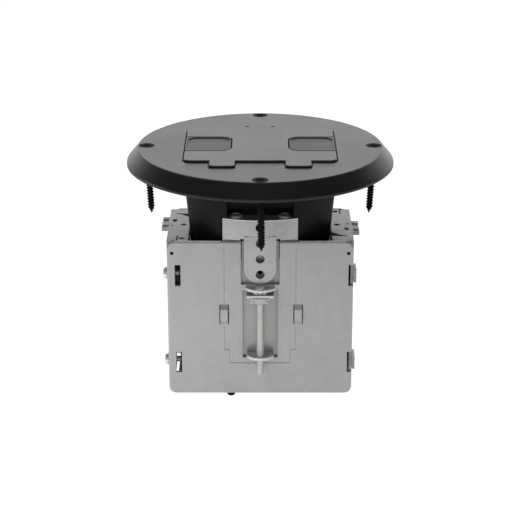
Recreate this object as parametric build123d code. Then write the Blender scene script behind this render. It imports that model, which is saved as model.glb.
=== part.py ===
# Round floor socket box. A black cover with a hinged lid and two cord doors lies on the floor,
# an oval collar and two strip hangers carry the sheet-steel box below it, and two slotted rods
# wind the socket's frame up and down inside the box.
# Millimetres. Origin: centre of the cover's underside, on the floor. +Z up, front is -Y.
from build123d import *
import math
import os

# Cover
cover_rim_d = 142.875
cover_top_d = 130.8
cover_h = 8.65
rim_edge_h = 1.4
rim_edge_r = 0.9
cover_top_r = 1.2
cover_skin = 3.0
cavity_inner_d = 107.0
cavity_wall = 5.6
rib_lift = 0.6
rib_count = 12
rib_t = 1.8
boss_d = 12.0

# Floor screws
floor_screw_pcd = 121.8
floor_screw_count = 4
floor_screw_d = 4.17
floor_screw_head_d = 8.0
floor_screw_len = 38.1
floor_screw_point = 6.0
floor_screw_neck_d = 3.2
countersink_angle = 82.0
screw_hole_clear = 0.25
screw_tip_r = 0.25

# Lid, its hinge and its seal
lid_w = 79.8
lid_depth = 60.4
lid_centre_y = -0.7
lid_t = 3.6
lid_proud = 1.0
lid_corner_r = 3.5
lid_edge_bevel = 0.4
lid_hollow_deep = 1.4
lid_hollow_rim = 4.4
lid_hollow_rib = 1.6
lid_hollow_corner_r = 1.0
lid_gap = 0.7
lid_front_gap = 1.0
lid_floor_gap = 0.3
lobe_x = 19.8
lobe_w = 13.5
lobe_reach = 9.4
lobe_corner_r = 2.5
lobe_side_gap = 0.5
hinge_inset = 4.3
hinge_drop = 3.25
hinge_pin_d = 3.0
hinge_pin_seat = 3.2
barrel_wall = 1.5
running_clear = 0.06
sweep_gap = 0.3
pocket_floor_t = 1.6
gasket_inset = 1.8
gasket_w = 1.8
gasket_t = 1.6
marker_hole_d = 1.8
marker_hole_x = 7.0
marker_hole_y = 37.3
marker_hole_deep = 2.5

# Cord doors
door_inner_x = 15.4
door_half_y = 13.2
door_corner_r = 6.0
door_t = 3.0
door_gap = 0.5
door_pin_d = 1.6
door_pin_drop = 1.9
door_pin_seat = 4.0
door_barrel_wall = 0.9
door_nose_bevel = 0.5
dish_deep = 0.5
dish_inset = 1.1

# Well and collar
well_half_x = 34.5
well_half_y = 17.4
well_corner_r = 12.0
collar_len = 43.6
collar_flange_gap = 0.66
collar_corner_r = 1.8
collar_arc_r = 53.0
collar_arc_reach = 27.7
collar_draft = 5.71
pocket_clear = 0.2
ledge_gap = 0.3
head_clear = 0.4
head_room = 3.2
pocket_half_x = 20.6
pocket_upper_half_x = 17.6
pocket_wall = 2.0
ledge_t = 8.0
collar_screw_x = 28.0
collar_screw_y = 20.6
collar_screw_d = 3.0
collar_screw_head_d = 5.6
collar_screw_len = 12.0
collar_screw_neck_d = 2.6
collar_screw_point = 1.0

# Hangers
hanger_w = 40.0
hanger_t = 1.5
hanger_arc_r = 53.0
hanger_reach = 29.4
hanger_top_z = -23.8
hanger_leg_len = 18.4
hanger_slot_w = 1.95
hanger_slot_over = 1.8
hanger_joggle_over = 1.0
hanger_leg_gap = 0.3
hanger_screw_in = 0.9
tongue_w = 17.1
tongue_hole_d = 4.8
tongue_hole_pitch = 8.8
tongue_hole_count = 4
tongue_first_hole = 4.1
tongue_end = 5.2
hanger_screw_x = 12.9
hanger_screw_head_d = 7.4
hanger_screw_head_h = 1.5
hanger_screw_d = 3.5
hanger_screw_len = 7.0

# Sheet-steel box
box_depth = 55.4
box_top_z = -36.2
box_h = 88.3
sheet_t = 1.6
box_corner_r = 4.0
box_edge_r = 1.1
plate_clear = 0.1
notch_half_x = 10.3
notch_deep = 24.4
window_half_x = 9.45
window_top = 27.6
window_bottom = 66.8
panel_half_x = 19.4
panel_step_half_x = 16.7
panel_step_z = 62.4
panel_bottom_z = 70.2
groove_w = 0.5
groove_deep = 0.35
square_hole = 1.7
square_hole_in = 2.8
square_hole_down = 6.6
hook_slot_w = 3.1
hook_slot_h = 12.0
hook_slot_in = 4.2
hook_slot_levels = (25.2, 75.5)
open_slot_w = 2.7
louvre_w = 5.0
louvre_h = 11.5
louvre_top = 35.8
louvre_side_slit = 0.5
louvre_ramp = 2.6
louvre_out = 1.5
louvre_shift = 1.0

# Rod lugs on the box and the rods
rod_d = 4.17
rod_y = 32.0
rod_len = 49.6
rod_button_d = 5.6
rod_button_h = 0.8
rod_slot_w = 0.9
rod_slot_deep = 0.6
rod_end_bevel = 0.6
lug_reach = 7.7
lug_half_x = 7.7
upper_lug_top = 24.8
lower_lug_top = 64.0
lug_clear = 0.08
lug_side_share = 0.45
lower_lug_narrower = 0.6
lug_root_over = 1.0
clip_d = 8.2
clip_t = 0.8
clip_gap = 0.1
clip_mouth_share = 0.8

# Side plates
side_flange_in = 11.5
flange_strip = 3.3
ear_reach = 3.7
ear_len = 19.0
ear_shift = 3.3
ear_rib_w = 1.6
ear_rib_h = 0.7
flange_hole_d = 3.1
flange_rear_hole_y = 22.0
flange_slots = ((3.0, 7.0, 2.4, 3.8), (1.0, -1.2, 2.8, 2.4),
                (5.5, -22.0, 0.7, 7.6), (4.1, -25.7, 2.6, 1.4))
gap_neck_x = 5.8
gap_neck_y = 17.5
gap_inner_y = 11.2
gap_outer_y = 18.7
ear_corner_r = 0.9
ear_rib_inset = 0.4
knockout_d = 22.2
knockout_groove = 0.5
knockout_deep = 0.9
knockout_tie = 3.0
knockout_drop = 46.0
knockout_spacing = 30.2
side_screw_d = 3.5
side_screw_in = 2.9
side_screw_head_d = 6.4
side_screw_head_h = 2.4
side_screw_len = 7.0
screw_slot_w = 0.9
side_tab_len = 6.4
side_tab_h = 10.0
hook_out = 1.5
hook_h = 7.2
hook_deep = 1.1
hook_root = 9.0
hook_foot = 2.0

# Ground screw under the box
ground_x = -15.9
ground_y = -21.7
ground_d = 4.8
ground_head_d = 7.2
ground_head_h = 2.2
ground_len = 5.0

# Socket frame that the rods move
frame_t = 1.4
frame_gap = 0.6
frame_ear_out = 0.6
frame_neck_in = 4.6
frame_ear_half_y = 11.0
socket_gap = 0.6
frame_window_clear = 0.8
frame_window_corner_r = 3.0
frame_top_gap = 0.3
skirt_half_x = 11.2
skirt_top_half_x = 10.0
skirt_bottom = 67.0
frame_lug_top = 27.9
frame_lug_half_x = 7.4
frame_lug_reach = 3.2
frame_lug_clear = 0.25
nut_w = 11.0
nut_depth = 8.0
nut_h = 4.0
nut_corner_r = 0.8
fixing_hole_d = 2.8

# Duplex socket
yoke_t = 1.2
yoke_half_x = 46.0
yoke_hole_in = 4.35
yoke_hole_len = 5.6
yoke_hole_clear = 0.4
yoke_corner_r = 2.0
yoke_side_clear = 2.2
yoke_half_y = 10.2
yoke_strap_half_y = 7.5
body_rim = 0.25
body_foot_bevel = 1.6
body_half_y = 16.6
body_deep = 24.0
body_corner_r = 3.0
face_proud = 4.2
face_bevel = 0.5
bridge_half_y = 5.0
bridge_lap = 1.9
bridge_step = 1.2
bridge_hole_d = 3.2
outlet_x = 19.45
outlet_r = 16.4
outlet_flat = 13.9
blade_gap = 6.35
blade_w = 1.6
blade_len_long = 8.0
blade_len_short = 6.4
earth_d = 4.9
earth_shift = 7.0
blade_shift = 3.2
earth_root = 2.8
slot_deep = 3.4
device_screw_d = 3.4
device_screw_head_d = 6.4
device_screw_head_h = 1.4
device_screw_len = 8.0
terminal_screw_d = 3.6
terminal_head_d = 7.0
terminal_head_h = 1.8
terminal_drop = 8.0
terminal_screw_len = 5.0
terminal_slot_w = 1.0
terminal_pad_half = 6.0
terminal_pad_deep = 1.6
terminal_hole_deep = 5.4

# Longer than any piece, for cuts that run right through
far = 60.0

# Worked-out levels
device_screw_x = yoke_half_x - yoke_hole_in
box_w = 2 * (yoke_half_x + yoke_side_clear + sheet_t)
frame_ear_half_x = yoke_half_x + frame_ear_out
frame_half_x = frame_ear_half_x - frame_neck_in
body_half_x = outlet_x + outlet_flat + body_rim
draft_slope = math.tan(math.radians(collar_draft))
flange_inner_x = box_w / 2 - side_flange_in
collar_end_half_x = flange_inner_x - collar_flange_gap - draft_slope * (collar_len + box_top_z)
lid_top_z = cover_h + lid_proud
lid_bottom_z = lid_top_z - lid_t
recess_z = lid_bottom_z - lid_floor_gap
lid_front_y = lid_centre_y - lid_depth / 2
hinge_y = lid_front_y - lobe_reach + hinge_inset
hinge_z = lid_top_z - hinge_drop
door_pin_z = lid_top_z - door_pin_drop
door_pin_inset = door_corner_r + door_pin_drop  # out where the door's sides are straight, so it can stand up
door_pin_x = door_inner_x + door_pin_inset
box_front_y = -box_depth / 2
box_inner_y = box_front_y + sheet_t
box_bottom_z = box_top_z - box_h
box_floor_z = box_bottom_z + sheet_t
frame_y = box_inner_y + frame_gap
frame_top_z = -collar_len - socket_gap - device_screw_head_h - yoke_t
yoke_top_z = frame_top_z + yoke_t
hinge_barrel_r = hinge_pin_d / 2 + barrel_wall
door_barrel_r = door_pin_d / 2 + door_barrel_wall


def block(x0, x1, y0, y1, z0, z1):
    middle = Pos((x0 + x1) / 2, (y0 + y1) / 2, (z0 + z1) / 2)
    return middle * Box(abs(x1 - x0), abs(y1 - y0), abs(z1 - z0))


def rod_along_x(radius, x0, x1, y, z):
    return Pos((x0 + x1) / 2, y, z) * Rot(0, 90, 0) * Cylinder(radius, x1 - x0)


def rod_along_y(radius, y0, y1, x, z):
    return Pos(x, (y0 + y1) / 2, z) * Rot(90, 0, 0) * Cylinder(radius, y1 - y0)


def rod_along_z(radius, z0, z1, x, y):
    return Pos(x, y, (z0 + z1) / 2) * Cylinder(radius, z1 - z0)


def slab(sketch, z0, z1):
    return extrude(Pos(0, 0, z0) * sketch, z1 - z0)


def front_sheet(sketch, y_front, thickness):
    # a sketch drawn as seen from the front, made a sheet whose outer face lies at y_front
    return extrude(Plane.XZ.offset(-y_front - thickness) * sketch, thickness)


def rectangle_between(x0, x1, z0, z1, corner=0.0):
    centre = Pos((x0 + x1) / 2, (z0 + z1) / 2)
    if corner > 0:
        return centre * RectangleRounded(x1 - x0, z1 - z0, corner)
    return centre * Rectangle(x1 - x0, z1 - z0)


def turned(shape):
    return Rot(0, 0, 180) * shape


def both_ways(shape):
    return [shape, turned(shape)]


def pan_screw(shank_r, length, head_r, head_h, slot=0.0):
    # head's underside at the origin, shank down, head up with a bevelled rim
    outline = Polyline((0, -length), (shank_r, -length), (shank_r, 0), (head_r, 0), (head_r, head_h * 0.55),
                       (head_r - head_h * 0.45, head_h), (0, head_h), close=True)
    screw = revolve(make_face(Plane.XZ * outline), Axis.Z)
    if slot > 0:
        screw -= Pos(0, 0, head_h) * Box(2 * head_r, slot, head_h * 0.9)
    return screw


def cone_height(head_r, shank_r):
    return (head_r - shank_r) / math.tan(math.radians(countersink_angle / 2))


def flat_screw(shank_r, length, head_r, point, neck_r, neck_len):
    # head's flat top at the origin, cone, plain neck and threaded shank down to a point
    outline = Polyline((0, 0), (head_r, 0), (neck_r, -cone_height(head_r, neck_r)), (neck_r, -neck_len),
                       (shank_r, -neck_len), (shank_r, -length + point), (screw_tip_r, -length), (0, -length),
                       close=True)
    return revolve(make_face(Plane.XZ * outline), Axis.Z)


# Cover
def floor_screw_places():
    step = 360 / floor_screw_count
    return [Rot(0, 0, i * step) * Pos(floor_screw_pcd / 2, 0, 0) for i in range(floor_screw_count)]


def cover_disc():
    rim = cover_rim_d / 2
    outline = Polyline((0, 0), (rim, 0), (rim, rim_edge_h), (cover_top_d / 2, cover_h), (0, cover_h),
                       close=True)
    disc = revolve(make_face(Plane.XZ * outline), Axis.Z)
    disc = fillet(disc.edges().group_by(Axis.Z)[-1], cover_top_r)
    rims = [e for e in disc.edges().filter_by(GeomType.CIRCLE) if abs(e.radius - rim) < 0.01]
    return fillet([e for e in rims if e.center().Z > rim_edge_h / 2], rim_edge_r)


def cover_cavity():
    # ring-shaped hollow under the rim, crossed by ribs and by the floor screws' bosses, which end
    # above the floor so that the cover stands on its outer ring
    top = cover_h - cover_skin
    inner = cavity_inner_d / 2
    outer = cover_rim_d / 2 - cavity_wall
    ring = slab(Circle(outer) - Circle(inner), -1, top)
    for i in range(rib_count):
        rib = block(inner - 2, outer + 2, -rib_t / 2, rib_t / 2, rib_lift, top + 1)
        ring -= Rot(0, 0, (i + 0.5) * 360 / rib_count) * rib
    for place in floor_screw_places():
        ring -= place * rod_along_z(boss_d / 2, rib_lift, top + 1, 0, 0)
    return ring


def countersunk_hole():
    shank = floor_screw_d / 2 + screw_hole_clear
    head = floor_screw_head_d / 2 + screw_hole_clear
    outline = Polyline((0, 1), (head, 1), (head, 0), (shank, -cone_height(head, shank)),
                       (shank, -cover_h - 1), (0, -cover_h - 1), close=True)
    return Pos(0, 0, cover_h) * revolve(make_face(Plane.XZ * outline), Axis.Z)


def lobe_sweep():
    return math.hypot(hinge_inset, hinge_drop) + sweep_gap


def hinge_pocket(side):
    half = lobe_w / 2 + lobe_side_gap
    x = side * lobe_x
    recess_front = lid_front_y - lid_front_gap
    pocket = rod_along_x(lobe_sweep(), x - half, x + half, hinge_y, hinge_z)
    pocket += block(x - half, x + half, hinge_y - lobe_sweep(), recess_front + 1, hinge_z, cover_h + 1)
    pocket += block(x - half, x + half, hinge_y, recess_front + 1, hinge_z - lobe_sweep(), hinge_z)
    return pocket


def hinge_pocket_skin(side):
    half = lobe_w / 2 + lobe_side_gap + pocket_floor_t
    x = side * lobe_x
    shell = rod_along_x(lobe_sweep() + pocket_floor_t, x - half, x + half, hinge_y, hinge_z)
    return shell & block(x - half, x + half, hinge_y - far, hinge_y + far, -far, recess_z)


def lid_pin(side, radius):
    half = lobe_w / 2 + lobe_side_gap + hinge_pin_seat
    return rod_along_x(radius, side * lobe_x - half, side * lobe_x + half, hinge_y, hinge_z)


def well_sketch():
    return RectangleRounded(2 * well_half_x, 2 * well_half_y, well_corner_r)


def gasket_ring(z0, z1):
    outer_x = lid_w - 2 * gasket_inset
    outer_y = lid_depth - 2 * gasket_inset
    outer = RectangleRounded(outer_x, outer_y, lid_corner_r)
    inner = RectangleRounded(outer_x - 2 * gasket_w, outer_y - 2 * gasket_w, lid_corner_r - gasket_w / 2)
    return slab(Pos(0, lid_centre_y) * (outer - inner), z0, z1)


def collar_screw_places():
    return [Pos(sx * collar_screw_x, sy * collar_screw_y, recess_z) for sx in (-1, 1) for sy in (-1, 1)]


def collar_screw_cut():
    shank = collar_screw_d / 2
    head = collar_screw_head_d / 2
    outline = Polyline((0, 1), (head, 1), (head, 0), (shank, -cone_height(head, shank)),
                       (shank, -collar_screw_len - 1), (0, -collar_screw_len - 1), close=True)
    return revolve(make_face(Plane.XZ * outline), Axis.Z)


def make_cover_plate():
    cover = cover_disc() - cover_cavity()
    recess_depth = lid_depth + lid_gap + lid_front_gap
    recess = RectangleRounded(lid_w + 2 * lid_gap, recess_depth, lid_corner_r + lid_gap)
    for side in (-1, 1):
        cover += hinge_pocket_skin(side)
    recess_y = lid_centre_y + (lid_gap - lid_front_gap) / 2
    cover -= slab(Pos(0, recess_y) * recess, recess_z, cover_h + 1)
    for side in (-1, 1):
        cover -= hinge_pocket(side)
        cover -= lid_pin(side, hinge_pin_d / 2)
    cover -= slab(well_sketch(), -1, cover_h)
    cover -= gasket_ring(recess_z - gasket_t, recess_z + 1)
    for place in floor_screw_places():
        cover -= place * countersunk_hole()
    for place in collar_screw_places():
        cover -= place * collar_screw_cut()
    for side in (-1, 1):
        cover -= rod_along_z(marker_hole_d / 2, cover_h - marker_hole_deep, cover_h + 1,
                             side * marker_hole_x, marker_hole_y)
    return cover


def make_wood_screws():
    screw = flat_screw(floor_screw_d / 2, floor_screw_len, floor_screw_head_d / 2, floor_screw_point,
                       floor_screw_neck_d / 2, cover_h)
    return [place * Pos(0, 0, cover_h) * screw for place in floor_screw_places()]


def make_collar_screws():
    neck_len = recess_z
    screw = flat_screw(collar_screw_d / 2, collar_screw_len, collar_screw_head_d / 2, collar_screw_point,
                       collar_screw_neck_d / 2, neck_len)
    return [place * screw for place in collar_screw_places()]


# Lid
def door_outline(grow):
    # U-shaped outline, open at the lid's side edge, as seen from above
    outer = lid_w / 2
    inner = door_inner_x - grow
    half = door_half_y + grow
    body = rectangle_between(inner, outer + far, -half, half, door_corner_r + grow)
    return body & rectangle_between(inner - 1, outer, -half - 1, half + 1)


def lid_hollows():
    # shallow hollows under the lid, in front of, behind and between the cord doors, with ribs left standing
    seat_y = door_half_y + door_gap + door_pin_seat + lid_hollow_rib
    seat_x = door_inner_x - door_gap - lid_hollow_rib
    edge_x = lid_w / 2 - lid_hollow_rim
    front_y = lid_front_y + lid_hollow_rim
    rear_y = lid_front_y + lid_depth - lid_hollow_rim
    half_rib = lid_hollow_rib / 2
    hollows = Sketch()
    for y0, y1 in ((front_y, -seat_y), (seat_y, rear_y)):
        for x0, x1 in ((-edge_x, -seat_x), (-seat_x + lid_hollow_rib, -half_rib)):
            hollows += rectangle_between(x0, x1, y0, y1, lid_hollow_corner_r)
            hollows += rectangle_between(-x1, -x0, y0, y1, lid_hollow_corner_r)
    for y0, y1 in ((-seat_y + lid_hollow_rib, -half_rib), (half_rib, seat_y - lid_hollow_rib)):
        hollows += rectangle_between(-seat_x, seat_x, y0, y1, lid_hollow_corner_r)
    return slab(hollows, lid_bottom_z - 1, lid_bottom_z + lid_hollow_deep)


def make_lid():
    outline = Pos(0, lid_centre_y) * RectangleRounded(lid_w, lid_depth, lid_corner_r)
    for side in (-1, 1):
        lobe = rectangle_between(side * lobe_x - lobe_w / 2, side * lobe_x + lobe_w / 2,
                                 lid_front_y - lobe_reach, lid_front_y + 2 * lobe_corner_r, lobe_corner_r)
        outline += lobe
    lid = slab(outline, lid_bottom_z, lid_top_z)
    lid = chamfer(lid.edges().group_by(Axis.Z)[-1], lid_edge_bevel) - lid_hollows()
    for side in (-1, 1):
        x0 = side * lobe_x - lobe_w / 2
        lid += rod_along_x(hinge_barrel_r, x0, x0 + lobe_w, hinge_y, hinge_z)
        lid -= rod_along_x(hinge_pin_d / 2 + running_clear, x0 - 1, x0 + lobe_w + 1, hinge_y, hinge_z)
        opening = slab(door_outline(door_gap), lid_bottom_z - 1, lid_top_z + 1)
        opening += slab(rectangle_between(lid_w / 2 - 1, lid_w / 2 + 2, -door_half_y - door_gap,
                                          door_half_y + door_gap), lid_bottom_z - 1, lid_top_z + 1)
        pin = door_pin(door_pin_d / 2)
        cut = opening + pin
        lid -= cut if side > 0 else turned(cut)
    return lid


def door_pin(radius):
    half = door_half_y + door_gap + door_pin_seat
    return rod_along_y(radius, -half, half, door_pin_x, door_pin_z)


def make_cord_door():
    door = slab(door_outline(0), lid_top_z - door_t, lid_top_z)
    nose = door.edges().group_by(Axis.Z)[-1].group_by(Axis.X)[:2]
    door = chamfer([e for group in nose for e in group], door_nose_bevel)
    door += rod_along_y(door_barrel_r, -door_half_y, door_half_y, door_pin_x, door_pin_z)
    dish = rectangle_between(door_inner_x + dish_inset, lid_w / 2 - dish_inset, -door_half_y + dish_inset,
                             door_half_y - dish_inset, door_corner_r - dish_inset)
    tray = slab(dish, lid_top_z - dish_deep, lid_top_z + 1)
    door -= tray
    return door - door_pin(door_pin_d / 2 + running_clear)


# Collar
def lens_sketch(end_half_x, arc_r, reach):
    # oval of two flat arcs cut off at the ends
    front = Pos(0, arc_r - reach) * Circle(arc_r)
    rear = Pos(0, reach - arc_r) * Circle(arc_r)
    return front & rear & Rectangle(2 * end_half_x, 4 * reach)


def make_collar():
    base = lens_sketch(collar_end_half_x, collar_arc_r, collar_arc_reach)
    base = fillet(base.vertices(), collar_corner_r)
    body = extrude(Pos(0, 0, -collar_len) * base, collar_len, taper=-collar_draft)
    body -= slab(well_sketch(), -collar_len - 1, 1)
    ledge_top = hanger_top_z - hanger_t
    wall_y = -well_half_y - pocket_wall
    for turn in (0, 180):
        pocket = block(-pocket_half_x, pocket_half_x, -far, wall_y, -collar_len - 1, ledge_top)
        pocket += block(-pocket_upper_half_x, pocket_upper_half_x, -far, wall_y, ledge_top - 1, 1)
        hanger_half = hanger_w / 2 + pocket_clear
        pocket += block(-hanger_half, hanger_half, -far, wall_y, ledge_top, hanger_top_z + pocket_clear)
        pocket -= block(-pocket_half_x, pocket_half_x, hanger_rear_limit(), wall_y,
                        ledge_top - ledge_t, ledge_top)
        body -= Rot(0, 0, turn) * pocket
        for side in (-1, 1):
            place = Rot(0, 0, turn) * Pos(side * hanger_screw_x, hanger_screw_y(), 0)
            body -= place * rod_along_z(hanger_screw_d / 2, ledge_top - hanger_screw_len, ledge_top + 1, 0, 0)
            body -= place * rod_along_z(hanger_screw_head_d / 2 + head_clear, hanger_top_z,
                                        hanger_top_z + head_room, 0, 0)
    for place in collar_screw_places():
        body -= place * rod_along_z(collar_screw_d / 2, -collar_screw_len, 1, 0, 0)
    return body


# Hangers
def hanger_rear_limit():
    # the ledge reaches forward to the hanger's upright sheet at its edges
    edge = hanger_w / 2
    return -hanger_reach + hanger_t + hanger_arc_r - math.sqrt(hanger_arc_r ** 2 - edge ** 2) + ledge_gap


def hanger_screw_y():
    return -well_half_y - pocket_wall - hanger_screw_head_d / 2 + hanger_screw_in


def hanger_arc_sheet(z0, z1):
    centre = Pos(0, hanger_arc_r - hanger_reach)
    ring = centre * Circle(hanger_arc_r) - centre * Circle(hanger_arc_r - hanger_t)
    return slab(ring & Pos(0, -hanger_reach) * Rectangle(hanger_w, hanger_arc_r), z0, z1)


def make_hanger():
    half = hanger_w / 2
    tongue_half = tongue_w / 2
    slot_top = box_top_z + hanger_slot_over
    joggle_z = box_top_z + hanger_joggle_over
    leg_y = box_inner_y + hanger_leg_gap
    wall_y = -well_half_y - pocket_wall
    front = -hanger_reach - 1
    sheet = hanger_arc_sheet(joggle_z, hanger_top_z)
    disc = Pos(0, hanger_arc_r - hanger_reach) * Circle(hanger_arc_r)
    lip = disc & rectangle_between(-half, half, front, wall_y - pocket_clear)
    sheet += slab(lip, hanger_top_z - hanger_t, hanger_top_z)
    joggle = disc & rectangle_between(-half, half, front, leg_y + hanger_t)
    sheet += slab(joggle, joggle_z, joggle_z + hanger_t)
    sheet += block(-half, half, leg_y, leg_y + hanger_t, hanger_top_z - hanger_leg_len, joggle_z + hanger_t)
    inner_half = tongue_half + hanger_slot_w
    sheet -= block(-inner_half, inner_half, -far, 0, -far, slot_top)
    tongue_bottom = tongue_hole_z(tongue_hole_count - 1) - tongue_end
    end_centre = tongue_bottom + tongue_half
    tongue = rectangle_between(-tongue_half, tongue_half, end_centre, slot_top + hanger_t)
    tongue += Pos(0, end_centre) * Circle(tongue_half)
    sheet += front_sheet(tongue, -hanger_reach, hanger_t)
    for i in range(tongue_hole_count):
        sheet -= rod_along_y(tongue_hole_d / 2, front, front + 3 * hanger_t, 0, tongue_hole_z(i))
    for side in (-1, 1):
        sheet -= rod_along_z(hanger_screw_d / 2, hanger_top_z - 2 * hanger_t, hanger_top_z + 1,
                             side * hanger_screw_x, hanger_screw_y())
    return sheet


def tongue_hole_z(index):
    return hanger_top_z - tongue_first_hole - index * tongue_hole_pitch


def make_hanger_screws():
    screw = pan_screw(hanger_screw_d / 2, hanger_screw_len, hanger_screw_head_d / 2, hanger_screw_head_h)
    pair = [Pos(side * hanger_screw_x, hanger_screw_y(), hanger_top_z) * screw for side in (-1, 1)]
    return pair + [turned(s) for s in pair]


# Sheet-steel box
def box_front_outline():
    half = box_w / 2
    return rectangle_between(-half, half, box_bottom_z, box_top_z, box_corner_r)


def rod_lug(top, half_x):
    # D-shaped lug bent out of the front plate, with the rod's hole
    reach = -box_front_y + lug_reach
    root = reach - lug_reach
    side_y = root + lug_reach * lug_side_share
    arc_r = (half_x ** 2 + (reach - side_y) ** 2) / (2 * (reach - side_y))
    outline = rectangle_between(-half_x, half_x, -reach, box_inner_y)
    outline &= Pos(0, arc_r - reach) * Circle(arc_r)
    lug = slab(outline, top - sheet_t, top)
    return lug - rod_along_z(rod_d / 2 + lug_clear, top - 2 * sheet_t, top + sheet_t, 0, -rod_y)


def side_screw_level(index):
    return box_top_z - hook_slot_levels[index] + hook_slot_h / 2


def front_features():
    # what is cut out of the front plate and what is bent out of it, as seen from the front
    cut = rectangle_between(-notch_half_x, notch_half_x, box_top_z - notch_deep, box_top_z + 1)
    cut += rectangle_between(-window_half_x, window_half_x, box_top_z - window_bottom, box_top_z - window_top)
    half = box_w / 2
    for level in hook_slot_levels:
        low = box_top_z - level
        slot_x = -half + hook_slot_in
        cut += rectangle_between(slot_x, slot_x + hook_slot_w, low, low + hook_slot_h)
        cut += rectangle_between(half - open_slot_w, half + 1, low, low + hook_slot_h)
    for side in (-1, 1):
        x = side * (half - square_hole_in)
        cut += Pos(x, box_top_z - square_hole_down) * Rectangle(square_hole, square_hole)
    return cut


def panel_groove():
    top = box_top_z + 1
    step = box_top_z - panel_step_z
    bottom = box_top_z - panel_bottom_z
    outer = rectangle_between(-panel_half_x, panel_half_x, step, top)
    outer += rectangle_between(-panel_step_half_x, panel_step_half_x, bottom, step + 1)
    inner = rectangle_between(-panel_half_x + groove_w, panel_half_x - groove_w, step + groove_w, top + 1)
    inner += rectangle_between(-panel_step_half_x + groove_w, panel_step_half_x - groove_w,
                               bottom + groove_w, step + 1)
    return outer - inner


def louvre_opening():
    top = box_top_z - louvre_top
    slot = rectangle_between(-louvre_w / 2, louvre_w / 2, top - louvre_h, top)
    return front_sheet(slot, box_front_y, sheet_t)


def louvre_strip():
    # strip between two slits at the panel's edge, pressed outward and still held at its top and bottom
    top = box_top_z - louvre_top
    bottom = top - louvre_h
    root = box_front_y
    crest = box_front_y - louvre_out
    outer = [(root, top + 1), (root, top), (crest, top - louvre_ramp), (crest, bottom + louvre_ramp),
             (root, bottom), (root, bottom - 1)]
    inner = [(y + sheet_t, z) for y, z in reversed(outer)]
    side = Polyline(*outer, *inner, close=True)
    half = louvre_w / 2 - louvre_side_slit
    return extrude(Plane.YZ.offset(-half) * make_face(side), 2 * half)


def front_plate():
    plate = front_sheet(box_front_outline(), box_front_y, sheet_t)
    plate = fillet(plate.edges().group_by(Axis.Y)[0], box_edge_r)
    plate -= front_sheet(front_features(), box_front_y, sheet_t)
    plate -= front_sheet(panel_groove(), box_front_y, groove_deep)
    for x in (-panel_half_x, panel_half_x + louvre_shift):
        plate -= Pos(x, 0, 0) * louvre_opening()
        plate += Pos(x, 0, 0) * louvre_strip()
    lower_half = lug_half_x - lower_lug_narrower
    plate += rod_lug(box_top_z - upper_lug_top, lug_half_x)
    plate += rod_lug(box_top_z - lower_lug_top, lower_half)
    plate += block(-lower_half, lower_half, box_front_y, box_inner_y,
                   box_top_z - window_bottom - lug_root_over, box_top_z - lower_lug_top)
    plate += side_screw_tabs()
    return plate


def side_screw_tabs():
    half = box_w / 2
    x0 = -half + hook_slot_in - sheet_t
    tabs = []
    for index in range(len(hook_slot_levels)):
        z = side_screw_level(index)
        tab = block(x0, x0 + sheet_t, box_front_y, box_inner_y + side_tab_len,
                    z - side_tab_h / 2, z + side_tab_h / 2)
        tab -= rod_along_x(side_screw_d / 2, x0 - 1, x0 + sheet_t + 1, box_inner_y + side_screw_in, z)
        tabs.append(tab)
    return tabs


def make_box_shell():
    # one sheet bent to a channel: front plate, floor and the same plate turned round
    half = box_w / 2
    floor = block(-half + box_corner_r, half - box_corner_r, box_inner_y, -box_inner_y,
                  box_bottom_z, box_floor_z)
    shell = front_plate()
    shell = shell + turned(shell) + floor
    shell -= rod_along_z(ground_d / 2, box_bottom_z - 1, box_floor_z + 1, ground_x, ground_y)
    return shell


def knockout():
    # ring groove that lets a round slug be pushed out, left whole at two ties
    outer = knockout_d / 2
    ring = Circle(outer) - Circle(outer - knockout_groove)
    ring -= Rectangle(knockout_tie, 2 * knockout_d)
    return ring


def make_left_side_plate():
    half = box_w / 2
    y_end = -box_inner_y - plate_clear
    plate = block(-half, -half + sheet_t, -y_end, y_end, box_floor_z + plate_clear, box_top_z)
    plate -= box_floor_corner_cut()
    plate += flange_with_ear()
    for level in (-1, 1):
        z = box_top_z - knockout_drop + level * knockout_spacing / 2
        plate -= extrude(Plane.YZ.offset(-half) * Pos(0, z) * knockout(), knockout_deep)
    for index in range(len(hook_slot_levels)):
        z = side_screw_level(index)
        plate -= rod_along_x(side_screw_d / 2, -half - 1, -half + 2 * sheet_t, box_inner_y + side_screw_in, z)
        plate += side_hook(z)
    return plate


def box_floor_corner_cut():
    # lower corners follow the rounded corners of the front and rear plates
    half = box_w / 2
    return block(-half - 1, -half + sheet_t + 1, -far, far, box_bottom_z - 1, box_bottom_z + box_corner_r)


def side_hook(z):
    # tab pressed outward at the rear edge that grips round the rear plate's slot
    half = box_w / 2
    y_end = -box_front_y
    hook = block(-half - hook_out, -half, y_end - hook_root, y_end + hook_deep,
                 z - hook_h / 2, z + hook_h / 2)
    foot = block(-half - hook_out, -half + sheet_t, y_end - hook_root, y_end - hook_root + hook_foot,
                 z - hook_h / 2, z + hook_h / 2)
    return hook + foot


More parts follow.
